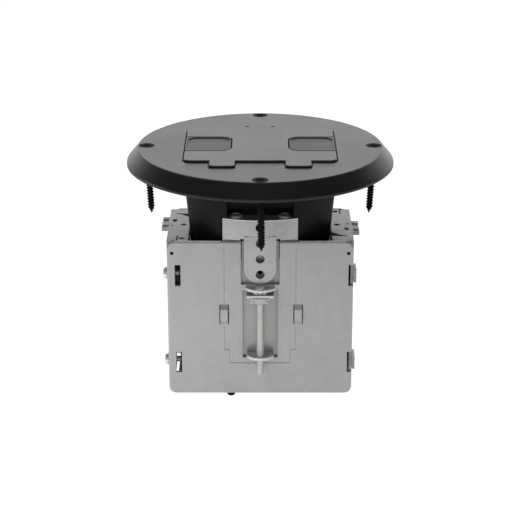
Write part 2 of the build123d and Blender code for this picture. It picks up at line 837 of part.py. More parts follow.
def flange_with_ear():
    half = box_w / 2
    y_end = -box_inner_y - plate_clear
    x_in = -flange_inner_x
    outline = rectangle_between(-half, x_in, -y_end, y_end)
    outline -= make_face(Polyline((-half + flange_strip, gap_neck_y), (-half + gap_neck_x, gap_neck_y),
                                  (x_in + 1, gap_inner_y), (x_in + 1, gap_outer_y),
                                  (-half + flange_strip, gap_outer_y), close=True))
    ear_low = ear_shift - ear_len / 2
    outline += rectangle_between(-half - ear_reach, -half + 1, ear_low, ear_low + ear_len, ear_corner_r)
    for y in (0, -flange_rear_hole_y):
        outline -= Pos(-device_screw_x, y) * Circle(flange_hole_d / 2)
    for inward, y, slot_w, slot_len in flange_slots:
        outline -= Pos(-half + inward, y) * Rectangle(slot_w, slot_len)
    flange = slab(outline, box_top_z - sheet_t, box_top_z)
    for offset in (-1, 1):
        y = ear_shift + offset * ear_len / 4
        flange += block(-half - ear_reach + ear_rib_inset, -half - ear_rib_inset, y - ear_rib_w / 2,
                        y + ear_rib_w / 2, box_top_z, box_top_z + ear_rib_h)
    return flange


def make_side_plate_screws():
    screw = pan_screw(side_screw_d / 2, side_screw_len, side_screw_head_d / 2, side_screw_head_h,
                      screw_slot_w)
    screws = []
    for index in range(len(hook_slot_levels)):
        place = Pos(-box_w / 2, box_inner_y + side_screw_in, side_screw_level(index)) * Rot(0, -90, 0)
        screws += both_ways(place * screw)
    return screws


def make_ground_screw():
    screw = pan_screw(ground_d / 2, ground_len, ground_head_d / 2, ground_head_h, screw_slot_w)
    return Pos(ground_x, ground_y, box_floor_z) * screw


# Rods
def make_height_screw():
    top = box_top_z - upper_lug_top
    rod = rod_along_z(rod_d / 2, top - rod_len, top, 0, -rod_y)
    rod = chamfer(rod.edges().group_by(Axis.Z)[0], rod_end_bevel)
    rod += rod_along_z(rod_button_d / 2, top, top + rod_button_h, 0, -rod_y)
    rod -= block(-rod_d, rod_d, -rod_y - rod_slot_w / 2, -rod_y + rod_slot_w / 2,
                 top + rod_button_h - rod_slot_deep, top + 2)
    return rod


def make_screw_clip():
    # spring clip under the upper lug, open at the front
    top = box_top_z - upper_lug_top - sheet_t - clip_gap
    mouth = Pos(0, -clip_d / 2) * Rectangle(rod_d * clip_mouth_share, clip_d)
    ring = Circle(clip_d / 2) - Circle(rod_d / 2) - mouth
    return slab(Pos(0, -rod_y) * ring, top - clip_t, top)


# Socket frame
def frame_ring():
    outline = Rectangle(2 * frame_half_x, -2 * frame_y)
    outline += Rectangle(2 * frame_ear_half_x, 2 * frame_ear_half_y)
    opening_half_x = body_half_x + yoke_t + frame_window_clear
    outline -= RectangleRounded(2 * opening_half_x, 2 * (body_half_y + frame_window_clear),
                                frame_window_corner_r)
    for side in (-1, 1):
        outline -= Pos(side * device_screw_x, 0) * Circle(device_screw_d / 2)
    return slab(outline, frame_top_z - frame_t, frame_top_z)


def frame_front():
    bottom = box_top_z - skirt_bottom
    skirt = rectangle_between(-skirt_half_x, skirt_half_x, bottom, frame_top_z)
    skirt += rectangle_between(-skirt_top_half_x, skirt_top_half_x, frame_top_z - 1,
                               box_top_z - frame_top_gap)
    skirt -= Pos(0, tongue_hole_z(tongue_hole_count - 1)) * Circle(fixing_hole_d / 2)
    sheet = front_sheet(skirt, frame_y, frame_t)
    lug_top = box_top_z - frame_lug_top
    lug_front = -rod_y - frame_lug_reach
    lug = block(-frame_lug_half_x, frame_lug_half_x, lug_front, frame_y + frame_t, lug_top - frame_t, lug_top)
    lug -= rod_along_z(rod_d / 2 + frame_lug_clear, lug_top - 2 * frame_t, lug_top + frame_t, 0, -rod_y)
    return sheet + lug


def make_device_frame():
    front = frame_front()
    return frame_ring() + front + turned(front)


def make_carriage_nuts():
    top = box_top_z - frame_lug_top - frame_t
    outline = RectangleRounded(nut_w, nut_depth, nut_corner_r) - Circle(rod_d / 2 + running_clear)
    return both_ways(slab(Pos(0, -rod_y) * outline, top - nut_h, top))


# Duplex socket
def make_receptacle_yoke():
    # ears on the frame, and a strap that passes round the back of the socket's body
    ears = RectangleRounded(2 * yoke_half_x, 2 * yoke_half_y, yoke_corner_r)
    ears -= Rectangle(2 * body_half_x, 3 * yoke_half_y)
    for side in (-1, 1):
        ears -= Pos(side * device_screw_x, 0) * SlotOverall(yoke_hole_len, device_screw_d + yoke_hole_clear)
    yoke = slab(ears, frame_top_z, yoke_top_z)
    back = frame_top_z - body_deep - yoke_t
    strap = block(-body_half_x - yoke_t, body_half_x + yoke_t, -yoke_strap_half_y, yoke_strap_half_y,
                  back, yoke_top_z)
    strap -= block(-body_half_x, body_half_x, -far, far, back + yoke_t, yoke_top_z + 1)
    strap -= rod_along_x(terminal_screw_d / 2, -body_half_x - 2 * yoke_t, -body_half_x, 0,
                         frame_top_z - terminal_drop)
    return yoke + strap


def outlet_sketch(grow):
    disc = Circle(outlet_r + grow)
    return disc & Rectangle(2 * (outlet_flat + grow), 3 * outlet_r)


def contact_slots():
    # two blade slots and a round-bottomed earth slot
    long_blade = Pos(-blade_shift, blade_gap) * Rectangle(blade_len_long, blade_w)
    short_blade = Pos(-blade_shift, -blade_gap) * Rectangle(blade_len_short, blade_w)
    earth = Pos(earth_shift, 0) * Circle(earth_d / 2)
    earth += Pos(earth_shift - earth_root / 2, 0) * Rectangle(earth_root, earth_d)
    return long_blade + short_blade + earth


def make_receptacle_face():
    face_top = yoke_top_z + face_proud
    parts = []
    for side in (-1, 1):
        outlet = slab(outlet_sketch(0), frame_top_z, face_top)
        outlet = chamfer(outlet.edges().group_by(Axis.Z)[-1], face_bevel)
        outlet -= slab(contact_slots(), face_top - slot_deep, face_top + 1)
        parts.append(Pos(side * outlet_x, 0, 0) * outlet)
    bridge_half_x = outlet_x - outlet_flat + bridge_lap
    bridge = block(-bridge_half_x, bridge_half_x, -bridge_half_y, bridge_half_y,
                   yoke_top_z, face_top - bridge_step)
    bridge -= rod_along_z(bridge_hole_d / 2, yoke_top_z - 1, face_top, 0, 0)
    return parts[0] + parts[1] + bridge


def make_receptacle_body():
    top = frame_top_z
    body = slab(RectangleRounded(2 * body_half_x, 2 * body_half_y, body_corner_r), top - body_deep, top)
    body = chamfer(body.edges().group_by(Axis.Z)[0], body_foot_bevel)
    level = top - terminal_drop
    pad_y = body_half_y - terminal_pad_deep
    for side_x in (-1, 1):
        x = side_x * outlet_x
        pad = block(x - terminal_pad_half, x + terminal_pad_half, -far, -pad_y,
                    level - terminal_pad_half, level + terminal_pad_half)
        pad += rod_along_y(terminal_screw_d / 2, -pad_y - 1, -pad_y + terminal_hole_deep, x, level)
        body -= both_ways(pad)
    body -= rod_along_x(terminal_screw_d / 2, -body_half_x - 1, -body_half_x + terminal_hole_deep, 0, level)
    return body


def terminal_screw():
    return pan_screw(terminal_screw_d / 2, terminal_screw_len, terminal_head_d / 2, terminal_head_h,
                     terminal_slot_w)


def make_terminal_screws(side_y):
    z = frame_top_z - terminal_drop
    turn = Rot(90, 0, 0) if side_y < 0 else Rot(-90, 0, 0)
    seat = side_y * (body_half_y - terminal_pad_deep)
    return [Pos(side_x * outlet_x, seat, z) * turn * terminal_screw() for side_x in (-1, 1)]


def make_device_ground_screw():
    return Pos(-body_half_x - yoke_t, 0, frame_top_z - terminal_drop) * Rot(0, -90, 0) * terminal_screw()


def make_device_screws():
    screw = pan_screw(device_screw_d / 2, device_screw_len, device_screw_head_d / 2, device_screw_head_h,
                      screw_slot_w)
    return [Pos(side * device_screw_x, 0, yoke_top_z) * screw for side in (-1, 1)]


def pieces():
    left_plate = make_left_side_plate()
    door = make_cord_door()
    hanger = make_hanger()
    rod = make_height_screw()
    clip = make_screw_clip()
    return {
        "cover_plate": [make_cover_plate()],
        "wood_screws": make_wood_screws(),
        "collar": [make_collar()],
        "collar_screws": make_collar_screws(),
        "front_hanger": [hanger],
        "rear_hanger": [turned(hanger)],
        "hanger_screws": make_hanger_screws(),
        "lid_hinge_pins": [lid_pin(-1, hinge_pin_d / 2), lid_pin(1, hinge_pin_d / 2)],
        "lid_gasket": [gasket_ring(recess_z - gasket_t, recess_z)],
        "lid": [make_lid()],
        "cord_door_pins": both_ways(door_pin(door_pin_d / 2)),
        "right_cord_door": [door],
        "left_cord_door": [turned(door)],
        "box_shell": [make_box_shell()],
        "left_side_plate": [left_plate],
        "right_side_plate": [turned(left_plate)],
        "side_plate_screws": make_side_plate_screws(),
        "ground_screw": [make_ground_screw()],
        "front_height_screw": [rod],
        "rear_height_screw": [turned(rod)],
        "front_screw_clip": [clip],
        "rear_screw_clip": [turned(clip)],
        "device_frame": [make_device_frame()],
        "carriage_nuts": make_carriage_nuts(),
        "receptacle_yoke": [make_receptacle_yoke()],
        "receptacle_face": [make_receptacle_face()],
        "receptacle_body": [make_receptacle_body()],
        "device_screws": make_device_screws(),
        "terminal_screws_brass": make_terminal_screws(-1),
        "terminal_screws_silver": make_terminal_screws(1),
        "device_ground_screw": [make_device_ground_screw()],
    }


def solids_of(shapes):
    found = []
    for shape in shapes:
        found += shape.solids()
    return found


os.makedirs("parts", exist_ok=True)
for name, shapes in pieces().items():
    solids = solids_of(shapes)
    export_step(solids[0] if len(solids) == 1 else Compound(children=solids), f"parts/{name}.step")
    print(name, len(solids))
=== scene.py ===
import math
import bpy
import numpy as np
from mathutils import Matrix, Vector


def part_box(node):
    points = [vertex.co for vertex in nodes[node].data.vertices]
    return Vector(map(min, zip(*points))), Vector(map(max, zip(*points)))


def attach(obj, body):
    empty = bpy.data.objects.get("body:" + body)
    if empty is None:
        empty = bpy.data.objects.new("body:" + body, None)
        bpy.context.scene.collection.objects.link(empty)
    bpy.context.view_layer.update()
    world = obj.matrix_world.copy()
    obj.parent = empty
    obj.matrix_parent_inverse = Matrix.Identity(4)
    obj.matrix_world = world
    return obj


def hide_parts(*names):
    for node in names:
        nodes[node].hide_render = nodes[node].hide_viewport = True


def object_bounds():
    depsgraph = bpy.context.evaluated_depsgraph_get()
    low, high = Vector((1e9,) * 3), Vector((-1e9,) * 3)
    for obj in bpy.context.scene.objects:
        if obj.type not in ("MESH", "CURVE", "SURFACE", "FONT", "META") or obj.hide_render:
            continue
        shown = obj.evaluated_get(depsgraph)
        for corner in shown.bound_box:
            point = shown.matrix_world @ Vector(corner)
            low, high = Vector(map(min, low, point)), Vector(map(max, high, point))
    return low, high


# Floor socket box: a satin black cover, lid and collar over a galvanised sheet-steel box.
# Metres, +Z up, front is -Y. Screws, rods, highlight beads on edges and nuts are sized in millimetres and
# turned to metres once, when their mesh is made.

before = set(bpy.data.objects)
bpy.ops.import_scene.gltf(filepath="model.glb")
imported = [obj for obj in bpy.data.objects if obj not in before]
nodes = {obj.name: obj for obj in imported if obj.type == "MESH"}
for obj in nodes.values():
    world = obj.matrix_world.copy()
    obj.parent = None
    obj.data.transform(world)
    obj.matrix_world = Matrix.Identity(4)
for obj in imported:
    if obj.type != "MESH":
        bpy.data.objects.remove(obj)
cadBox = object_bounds()
mm = 0.001
print("frame loaded,", len(nodes), "nodes")


def boxInMm(name):
    low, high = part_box(name)
    return np.array(low) / mm, np.array(high) / mm


# Meshes

# no turned profile gets thinner than this, in millimetres
thinnest = 0.02


def makePiece(name, points, faces, sharpAngle=35.0):
    # whole arrays of points and faces become one smooth-shaded mesh with its sharp edges kept
    mesh = bpy.data.meshes.new(name)
    mesh.from_pydata(points.tolist(), [], faces)
    mesh.polygons.foreach_set("use_smooth", np.ones(len(mesh.polygons), dtype=bool))
    mesh.set_sharp_from_angle(angle=math.radians(sharpAngle))
    mesh.update()
    piece = bpy.data.objects.new(name, mesh)
    bpy.context.scene.collection.objects.link(piece)
    return piece


def profileRows(corners):
    # corners are (radius, height, thread share, steps from the corner before), with straight rows between
    rows = [np.array([corners[0][:3]], dtype=float)]
    for start, end in zip(corners[:-1], corners[1:]):
        share = np.linspace(0.0, 1.0, end[3] + 1)[1:, None]
        rows.append(np.array(start[:3]) * (1 - share) + np.array(end[:3]) * share)
    return np.concatenate(rows)


def crossCut(x, y, cut):
    # mask of two crossed arms, one where a point is inside an arm, with soft walls
    def arm(along, across):
        inside = np.clip((cut["width"] / 2 - np.abs(across)) / cut["wall"] + 0.5, 0, 1)
        return inside * np.clip((cut["reach"] - np.abs(along)) / cut["wall"] + 0.5, 0, 1)
    mask = np.maximum(arm(x, y), arm(y, x))
    rise = np.clip(np.hypot(x, y) / cut["reach"], 0, 1)
    return mask, cut["depth"] * (1 - cut["rise"] * rise)


def slotCut(x, y, cut):
    # mask of one straight slot right across the head
    mask = np.clip((cut["width"] / 2 - np.abs(y)) / cut["wall"] + 0.5, 0, 1)
    return mask, np.full_like(x, cut["depth"])


def screwGrid(rows, columns, thread, cut):
    # a profile turned round the axis: radius falls by the thread's depth away from each crest, and the
    # crest climbs one pitch per turn; inside the recess the head's surface drops to the recess floor
    turn = np.linspace(0, 2 * math.pi, columns, endpoint=False)[None, :]
    radius, height, share = rows[:, 0:1], rows[:, 1:2], rows[:, 2:3]
    phase = np.mod(height / thread["pitch"] - turn / (2 * math.pi), 1.0)
    crest = np.clip(1 - np.abs(2 * phase - 1) / thread["crestShare"], 0, 1)
    radius = np.maximum(radius - share * thread["depth"] * (1 - crest), thinnest)
    x, y = radius * np.cos(turn), radius * np.sin(turn)
    z = np.repeat(height, columns, axis=1)
    if cut:
        mask, depth = (slotCut if cut["kind"] == "slot" else crossCut)(x, y, cut)
        floor = rows[0, 1] - depth
        onHead = z > rows[0, 1] - cut["depth"] - cut["wall"]
        z = np.where(onHead, z * (1 - mask) + np.minimum(z, floor) * mask, z)
    return np.stack([x, y, z], axis=-1)


def gridFaces(rowCount, columns, offset):
    # quads between rows, and a fan of triangles round the point at each end
    row = np.arange(rowCount - 1)[:, None] * columns
    column = np.arange(columns)[None, :]
    after = (column + 1) % columns
    quads = np.stack([row + column, row + columns + column, row + columns + after, row + after], axis=-1)
    quads = (quads.reshape(-1, 4) + offset + 1).tolist()
    first = offset + 1
    last = offset + 1 + (rowCount - 1) * columns
    end = offset + 1 + rowCount * columns
    ring = np.arange(columns)
    nextRing = (ring + 1) % columns
    top = np.stack([np.full(columns, offset), first + ring, first + nextRing], axis=-1).tolist()
    tip = np.stack([np.full(columns, end), last + nextRing, last + ring], axis=-1).tolist()
    return top + quads + tip


def screwAxes(direction, spin):
    # two directions across the screw and the way its head faces; the helper is an axis it doesn't lie along
    facing = np.array(direction, dtype=float)
    facing /= np.linalg.norm(facing)
    helper = np.array([0.0, 1.0, 0.0]) if abs(facing[1]) < 0.9 else np.array([1.0, 0.0, 0.0])
    side = np.cross(helper, facing)
    side /= np.linalg.norm(side)
    other = np.cross(facing, side)
    c, s = math.cos(math.radians(spin)), math.sin(math.radians(spin))
    return np.array([c * side + s * other, -s * side + c * other, facing])


def screwSet(name, corners, columns, thread, cut, places):
    # the same screw at each place, as one mesh; a place is (origin, way the head faces, spin in degrees)
    grid = screwGrid(profileRows(corners), columns, thread, cut)
    top = np.array([[0, 0, grid[0, :, 2].mean()]])
    tip = np.array([[0, 0, corners[-1][1]]])
    body = np.concatenate([top, grid.reshape(-1, 3), tip])
    points, faces = [], []
    for origin, direction, spin in places:
        faces += gridFaces(grid.shape[0], columns, len(points) * len(body))
        points.append(body @ screwAxes(direction, spin) + np.array(origin))
    return makePiece(name, np.concatenate(points) * mm, faces)


def settle(piece, body, node, material):
    # rides the piece on its body with its finish, in place of the plain node if one is named
    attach(piece, body)
    if node:
        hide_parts(node)
    piece.data.materials.append(material)


# Node groups that several finishes share

effectLook = {
    "grainRoughness": 0.55, "bendScale": 260.0, "bendReach": (0.004, 0.004, 0.004), "crystalSoftness": 0.35,
    "cloudRoughness": 0.6, "bevelSamples": 6, "wearContrast": 4.0, "dustFrom": 0.5, "dustContrast": 2.0,
    "patchRoughness": 0.62,
}


def newGroup(name, inputs, outputs):
    group = bpy.data.node_groups.new(name, "ShaderNodeTree")
    for label, kind, value in inputs:
        socket = group.interface.new_socket(name=label, in_out="INPUT", socket_type=kind)
        socket.default_value = value
    for label, kind in outputs:
        group.interface.new_socket(name=label, in_out="OUTPUT", socket_type=kind)
    return group, group.nodes.new("NodeGroupInput"), group.nodes.new("NodeGroupOutput")


def addNode(tree, kind, values=None, **settings):
    node = tree.nodes.new(kind)
    for label, value in settings.items():
        setattr(node, label, value)
    for label, value in (values or {}).items():
        node.inputs[label].default_value = value
    return node


def addMath(tree, operation, first, second, clamp=False):
    # first and second are sockets or plain numbers
    node = addNode(tree, "ShaderNodeMath", operation=operation, use_clamp=clamp)
    for index, value in enumerate((first, second)):
        if isinstance(value, (int, float)):
            node.inputs[index].default_value = value
        else:
            tree.links.new(value, node.inputs[index])
    return node.outputs[0]


def makeGrainGroup():
    # soft noise, stretched by its own scale along each axis; Value swings about 0.5
    group, given, result = newGroup(
        "stretchedGrain",
        [("Scale", "NodeSocketVector", (100.0, 100.0, 100.0)), ("Detail", "NodeSocketFloat", 3.0)],
        [("Value", "NodeSocketFloat")])
    place = addNode(group, "ShaderNodeTexCoord")
    spread = addNode(group, "ShaderNodeVectorMath", operation="MULTIPLY")
    noise = addNode(group, "ShaderNodeTexNoise", {"Scale": 1.0, "Roughness": effectLook["grainRoughness"]})
    group.links.new(place.outputs["Object"], spread.inputs[0])
    group.links.new(given.outputs["Scale"], spread.inputs[1])
    group.links.new(spread.outputs[0], noise.inputs["Vector"])
    group.links.new(given.outputs["Detail"], noise.inputs["Detail"])
    group.links.new(noise.outputs["Fac"], result.inputs["Value"])
    return group


def makeMottleGroup():
    # zinc's patches: soft crystals of one even shade each, mixed with clouds; Value swings about 0.5
    group, given, result = newGroup(
        "zincMottle",
        [("Crystals", "NodeSocketFloat", 160.0), ("Clouds", "NodeSocketFloat", 30.0),
         ("Share", "NodeSocketFloat", 0.5)],
        [("Value", "NodeSocketFloat")])
    place = addNode(group, "ShaderNodeTexCoord")
    bend = addNode(group, "ShaderNodeTexNoise", {"Scale": effectLook["bendScale"], "Detail": 2.0})
    shift = addNode(group, "ShaderNodeVectorMath", operation="MULTIPLY_ADD")
    shift.inputs[1].default_value = effectLook["bendReach"]
    crystals = addNode(group, "ShaderNodeTexVoronoi", {"Randomness": 1.0}, feature="SMOOTH_F1")
    crystals.inputs["Smoothness"].default_value = effectLook["crystalSoftness"]
    shade = addNode(group, "ShaderNodeSeparateColor")
    clouds = addNode(group, "ShaderNodeTexNoise", {"Detail": 4.0})
    clouds.inputs["Roughness"].default_value = effectLook["cloudRoughness"]
    mix = addNode(group, "ShaderNodeMix", data_type="FLOAT")
    group.links.new(place.outputs["Object"], bend.inputs["Vector"])
    group.links.new(bend.outputs["Color"], shift.inputs[0])
    group.links.new(place.outputs["Object"], shift.inputs[2])
    group.links.new(shift.outputs[0], crystals.inputs["Vector"])
    group.links.new(given.outputs["Crystals"], crystals.inputs["Scale"])
    group.links.new(crystals.outputs["Color"], shade.inputs["Color"])
    group.links.new(place.outputs["Object"], clouds.inputs["Vector"])
    group.links.new(given.outputs["Clouds"], clouds.inputs["Scale"])
    group.links.new(given.outputs["Share"], mix.inputs["Factor"])
    group.links.new(clouds.outputs["Fac"], mix.inputs["A"])
    group.links.new(shade.outputs[0], mix.inputs["B"])
    group.links.new(mix.outputs["Result"], result.inputs["Value"])
    return group


def makeEdgeGroup():
    # rounds sharp edges in the shading and marks them; the mark is one along the edge and broken up by
    # noise, and finishes use it both for wear and as a painted highlight on edges
    group, given, result = newGroup(
        "roundedEdge",
        [("Radius", "NodeSocketFloat", 0.0003), ("Breaks", "NodeSocketFloat", 700.0),
         ("Spread", "NodeSocketFloat", 6.0), ("Gaps", "NodeSocketFloat", 0.36)],
        [("Normal", "NodeSocketVector"), ("WearAndHighlight", "NodeSocketFloat")])
    bevel = addNode(group, "ShaderNodeBevel", samples=effectLook["bevelSamples"])
    surface = addNode(group, "ShaderNodeNewGeometry")
    place = addNode(group, "ShaderNodeTexCoord")
    noise = addNode(group, "ShaderNodeTexNoise", {"Detail": 3.0})
    turn = addNode(group, "ShaderNodeVectorMath", operation="DOT_PRODUCT")
    group.links.new(given.outputs["Radius"], bevel.inputs["Radius"])
    group.links.new(place.outputs["Object"], noise.inputs["Vector"])
    group.links.new(given.outputs["Breaks"], noise.inputs["Scale"])
    group.links.new(bevel.outputs["Normal"], turn.inputs[0])
    group.links.new(surface.outputs["Normal"], turn.inputs[1])
    turned = addMath(group, "SUBTRACT", 1.0, turn.outputs["Value"])
    bent = addMath(group, "MULTIPLY", turned, given.outputs["Spread"], clamp=True)
    above = addMath(group, "SUBTRACT", noise.outputs["Fac"], given.outputs["Gaps"])
    broken = addMath(group, "MULTIPLY", above, effectLook["wearContrast"], clamp=True)
    group.links.new(addMath(group, "MULTIPLY", bent, broken), result.inputs["WearAndHighlight"])
    group.links.new(bevel.outputs["Normal"], result.inputs["Normal"])
    return group


def makeDustGroup():
    # faint settled dust: only where the surface faces up, and patchy
    group, given, result = newGroup(
        "settledDust",
        [("Amount", "NodeSocketFloat", 0.1), ("Patches", "NodeSocketFloat", 60.0)],
        [("Mask", "NodeSocketFloat")])
    surface = addNode(group, "ShaderNodeNewGeometry")
    split = addNode(group, "ShaderNodeSeparateXYZ")
    place = addNode(group, "ShaderNodeTexCoord")
    patches = addNode(group, "ShaderNodeTexNoise", {"Detail": 5.0})
    patches.inputs["Roughness"].default_value = effectLook["patchRoughness"]
    group.links.new(surface.outputs["Normal"], split.inputs[0])
    group.links.new(place.outputs["Object"], patches.inputs["Vector"])
    group.links.new(given.outputs["Patches"], patches.inputs["Scale"])
    steep = addMath(group, "SUBTRACT", split.outputs["Z"], effectLook["dustFrom"])
    up = addMath(group, "MULTIPLY", steep, effectLook["dustContrast"], clamp=True)
    patchy = addMath(group, "MULTIPLY", up, patches.outputs["Fac"])
    group.links.new(addMath(group, "MULTIPLY", patchy, given.outputs["Amount"]), result.inputs["Mask"])
    return group


grainGroup = makeGrainGroup()
mottleGroup = makeMottleGroup()
edgeGroup = makeEdgeGroup()
dustGroup = makeDustGroup()
print("shared effects made")


# Finishes

def useGroup(tree, group, values):
    node = tree.nodes.new("ShaderNodeGroup")
    node.node_tree = group
    for label, value in values.items():
        node.inputs[label].default_value = value
    return node


def startMaterial(name, metallic=0.0):
    material = bpy.data.materials.new(name)
    material.use_nodes = True
    tree = material.node_tree
    shader = tree.nodes["Principled BSDF"]
    shader.inputs["Metallic"].default_value = metallic
    return material, tree, shader


def blendColours(tree, amount, dark, light):
    # dark is a colour or a socket, light is a colour
    mix = addNode(tree, "ShaderNodeMix", data_type="RGBA")
    mix.inputs["A"].default_value = (*dark, 1.0) if isinstance(dark, tuple) else (0, 0, 0, 1)
    if not isinstance(dark, tuple):
        tree.links.new(dark, mix.inputs["A"])
    mix.inputs["B"].default_value = (*light, 1.0)
    tree.links.new(amount, mix.inputs["Factor"])
    return mix.outputs["Result"]


def rangeOf(tree, value, low, high, fromLow=0.3, fromHigh=0.7):
    # maps a value from its range, by default the usual swing of noise, to low and high
    node = addNode(tree, "ShaderNodeMapRange")
    node.inputs["From Min"].default_value = fromLow
    node.inputs["From Max"].default_value = fromHigh
    node.inputs["To Min"].default_value = low
    node.inputs["To Max"].default_value = high
    tree.links.new(value, node.inputs["Value"])
    return node.outputs["Result"]


def bumpFrom(tree, height, distance, normal):
    bump = addNode(tree, "ShaderNodeBump", {"Strength": 1.0, "Distance": distance})
    tree.links.new(height, bump.inputs["Height"])
    tree.links.new(normal, bump.inputs["Normal"])
    return bump.outputs["Normal"]


def paintedBlack(name, look):
    # satin paint or moulding: fine orange-peel grain, cloudy gloss, edges lightened partly as rubbed wear
    # and partly as a painted highlight, and a little dust
    material, tree, shader = startMaterial(name)
    shader.inputs["IOR"].default_value = look["ior"]
    shader.inputs["Specular IOR Level"].default_value = look["specular"]
    shader.inputs["Coat Roughness"].default_value = look["coatRoughness"]
    shader.inputs["Coat Weight"].default_value = look["coat"]
    grain = useGroup(tree, grainGroup, {"Scale": (look["grain"],) * 3, "Detail": 2.0})
    clouds = useGroup(tree, grainGroup, {"Scale": look["clouds"], "Detail": 4.0})
    edge = useGroup(tree, edgeGroup, {"Radius": look["edgeRadius"]})
    dust = useGroup(tree, dustGroup, {"Amount": look["dust"]})
    clouded = rangeOf(tree, clouds.outputs["Value"], 0.0, 1.0)
    colour = blendColours(tree, clouded, look["dark"], look["light"])
    # edges mixed towards the lighter rubbed colour, partly as wear and partly as a painted highlight
    edgeWearAndHighlightMask = addMath(tree, "MULTIPLY", edge.outputs["WearAndHighlight"], look["edgeWearAndHighlight"])
    wornAndHighlighted = blendColours(tree, edgeWearAndHighlightMask, colour, look["rubbedAndHighlight"])
    dusted = blendColours(tree, dust.outputs["Mask"], wornAndHighlighted, look["dustColour"])
    rough = rangeOf(tree, clouds.outputs["Value"], look["smooth"], look["rough"])
    normal = bumpFrom(tree, grain.outputs["Value"], look["grainDepth"], edge.outputs["Normal"])
    tree.links.new(dusted, shader.inputs["Base Color"])
    tree.links.new(rough, shader.inputs["Roughness"])
    tree.links.new(normal, shader.inputs["Normal"])
    return material


def plainMetal(name, look):
    # zinc or steel: crystals and clouds in colour and gloss, brush marks along one axis, fine pits and edges
    # lightened partly as wear and partly as a painted highlight; dull zinc scatters some light, so it isn't
    # wholly metallic
    material, tree, shader = startMaterial(name, metallic=look["metallic"])
    mottle = useGroup(tree, mottleGroup, {"Crystals": look["crystals"], "Clouds": look["clouds"],
                                          "Share": look["crystalShare"]})
    brush = useGroup(tree, grainGroup, {"Scale": look["brush"], "Detail": 3.0})
    edge = useGroup(tree, edgeGroup, {"Radius": look["edgeRadius"], "Spread": look["spread"],
                                      "Gaps": look["gaps"]})
    pits = useGroup(tree, grainGroup, {"Scale": (look["pits"],) * 3, "Detail": 1.0})
    shade = addMath(tree, "ADD", rangeOf(tree, mottle.outputs["Value"], 0.0, 1.0),
                    rangeOf(tree, pits.outputs["Value"], -look["pitDepth"], look["pitDepth"]))
    colour = blendColours(tree, shade, look["dark"], look["light"])
    # edges mixed towards the pale edge colour, partly as wear and partly as a painted highlight
    edgeWearAndHighlightMask = addMath(tree, "MULTIPLY", edge.outputs["WearAndHighlight"], look["edgeWearAndHighlight"])
    bright = blendColours(tree, edgeWearAndHighlightMask, colour, look["edge"])
    burred = look["metallic"] * (1 - look["burr"])
    scatter = rangeOf(tree, edge.outputs["WearAndHighlight"], look["metallic"], burred, 0.0, 1.0)
    rough = addMath(tree, "ADD", rangeOf(tree, mottle.outputs["Value"], look["smooth"], look["rough"]),
                    rangeOf(tree, brush.outputs["Value"], -look["brushRough"], look["brushRough"]))
    normal = bumpFrom(tree, brush.outputs["Value"], look["brushDepth"], edge.outputs["Normal"])
    tree.links.new(bright, shader.inputs["Base Color"])
    tree.links.new(scatter, shader.inputs["Metallic"])
    tree.links.new(rough, shader.inputs["Roughness"])
    tree.links.new(normal, shader.inputs["Normal"])
    return material


coverLook = {
    "dark": (0.0025, 0.0025, 0.0027), "light": (0.0045, 0.0045, 0.0047), "rubbedAndHighlight": (0.05, 0.05, 0.05),
    "ior": 1.5, "specular": 0.5, "coat": 0.55, "coatRoughness": 0.3, "smooth": 0.38, "rough": 0.45,
    "grain": 2400.0, "grainDepth": 0.000006, "edgeRadius": 0.0003, "edgeWearAndHighlight": 0.08, "dust": 0.035,
    "clouds": (45.0, 45.0, 45.0), "dustColour": (0.32, 0.31, 0.29),
}
# the lid's light rubbed edge colour and strong edge mark paint a highlight along its outline, besides some
# wear
lidLook = dict(coverLook, dark=(0.004, 0.004, 0.004), light=(0.007, 0.007, 0.007), rubbedAndHighlight=(0.22, 0.22, 0.21),
               smooth=0.35, rough=0.42, dust=0.04, edgeRadius=0.0004, edgeWearAndHighlight=0.6)
doorLook = dict(lidLook, dark=(0.016, 0.0145, 0.0105), light=(0.026, 0.024, 0.018), smooth=0.36, rough=0.46,
                coat=0.12, dust=0.01, clouds=(18.0, 160.0, 60.0), edgeWearAndHighlight=0.15)
collarLook = dict(coverLook, dark=(0.003, 0.003, 0.003), light=(0.005, 0.005, 0.005), smooth=0.36,
                  rough=0.42, specular=0.16, coat=0.0, dust=0.0, edgeWearAndHighlight=0.0, grainDepth=0.000004)
screwLook = dict(coverLook, dark=(0.005, 0.005, 0.005), light=(0.01, 0.01, 0.009), rubbedAndHighlight=(0.1, 0.1, 0.1),
                 specular=0.14, smooth=0.55, rough=0.7, coat=0.0, dust=0.0, edgeWearAndHighlight=0.3, edgeRadius=0.0001,
                 grain=4000.0)
sealLook = dict(coverLook, dark=(0.012, 0.012, 0.012), light=(0.02, 0.02, 0.02), smooth=0.7, rough=0.85,
                coat=0.0, dust=0.1, edgeWearAndHighlight=0.0, grainDepth=0.00001)
socketLook = dict(coverLook, dark=(0.012, 0.012, 0.012), light=(0.015, 0.015, 0.015), smooth=0.24, rough=0.3,
                  coat=0.0, dust=0.02, edgeWearAndHighlight=0.05, grainDepth=0.000002)
socketBodyLook = dict(socketLook, smooth=0.45, rough=0.55, dust=0.0, grainDepth=0.000008)
greenLook = dict(socketLook, dark=(0.02, 0.16, 0.06), light=(0.03, 0.22, 0.09), rubbedAndHighlight=(0.4, 0.42, 0.36),
                 edgeWearAndHighlight=0.6)

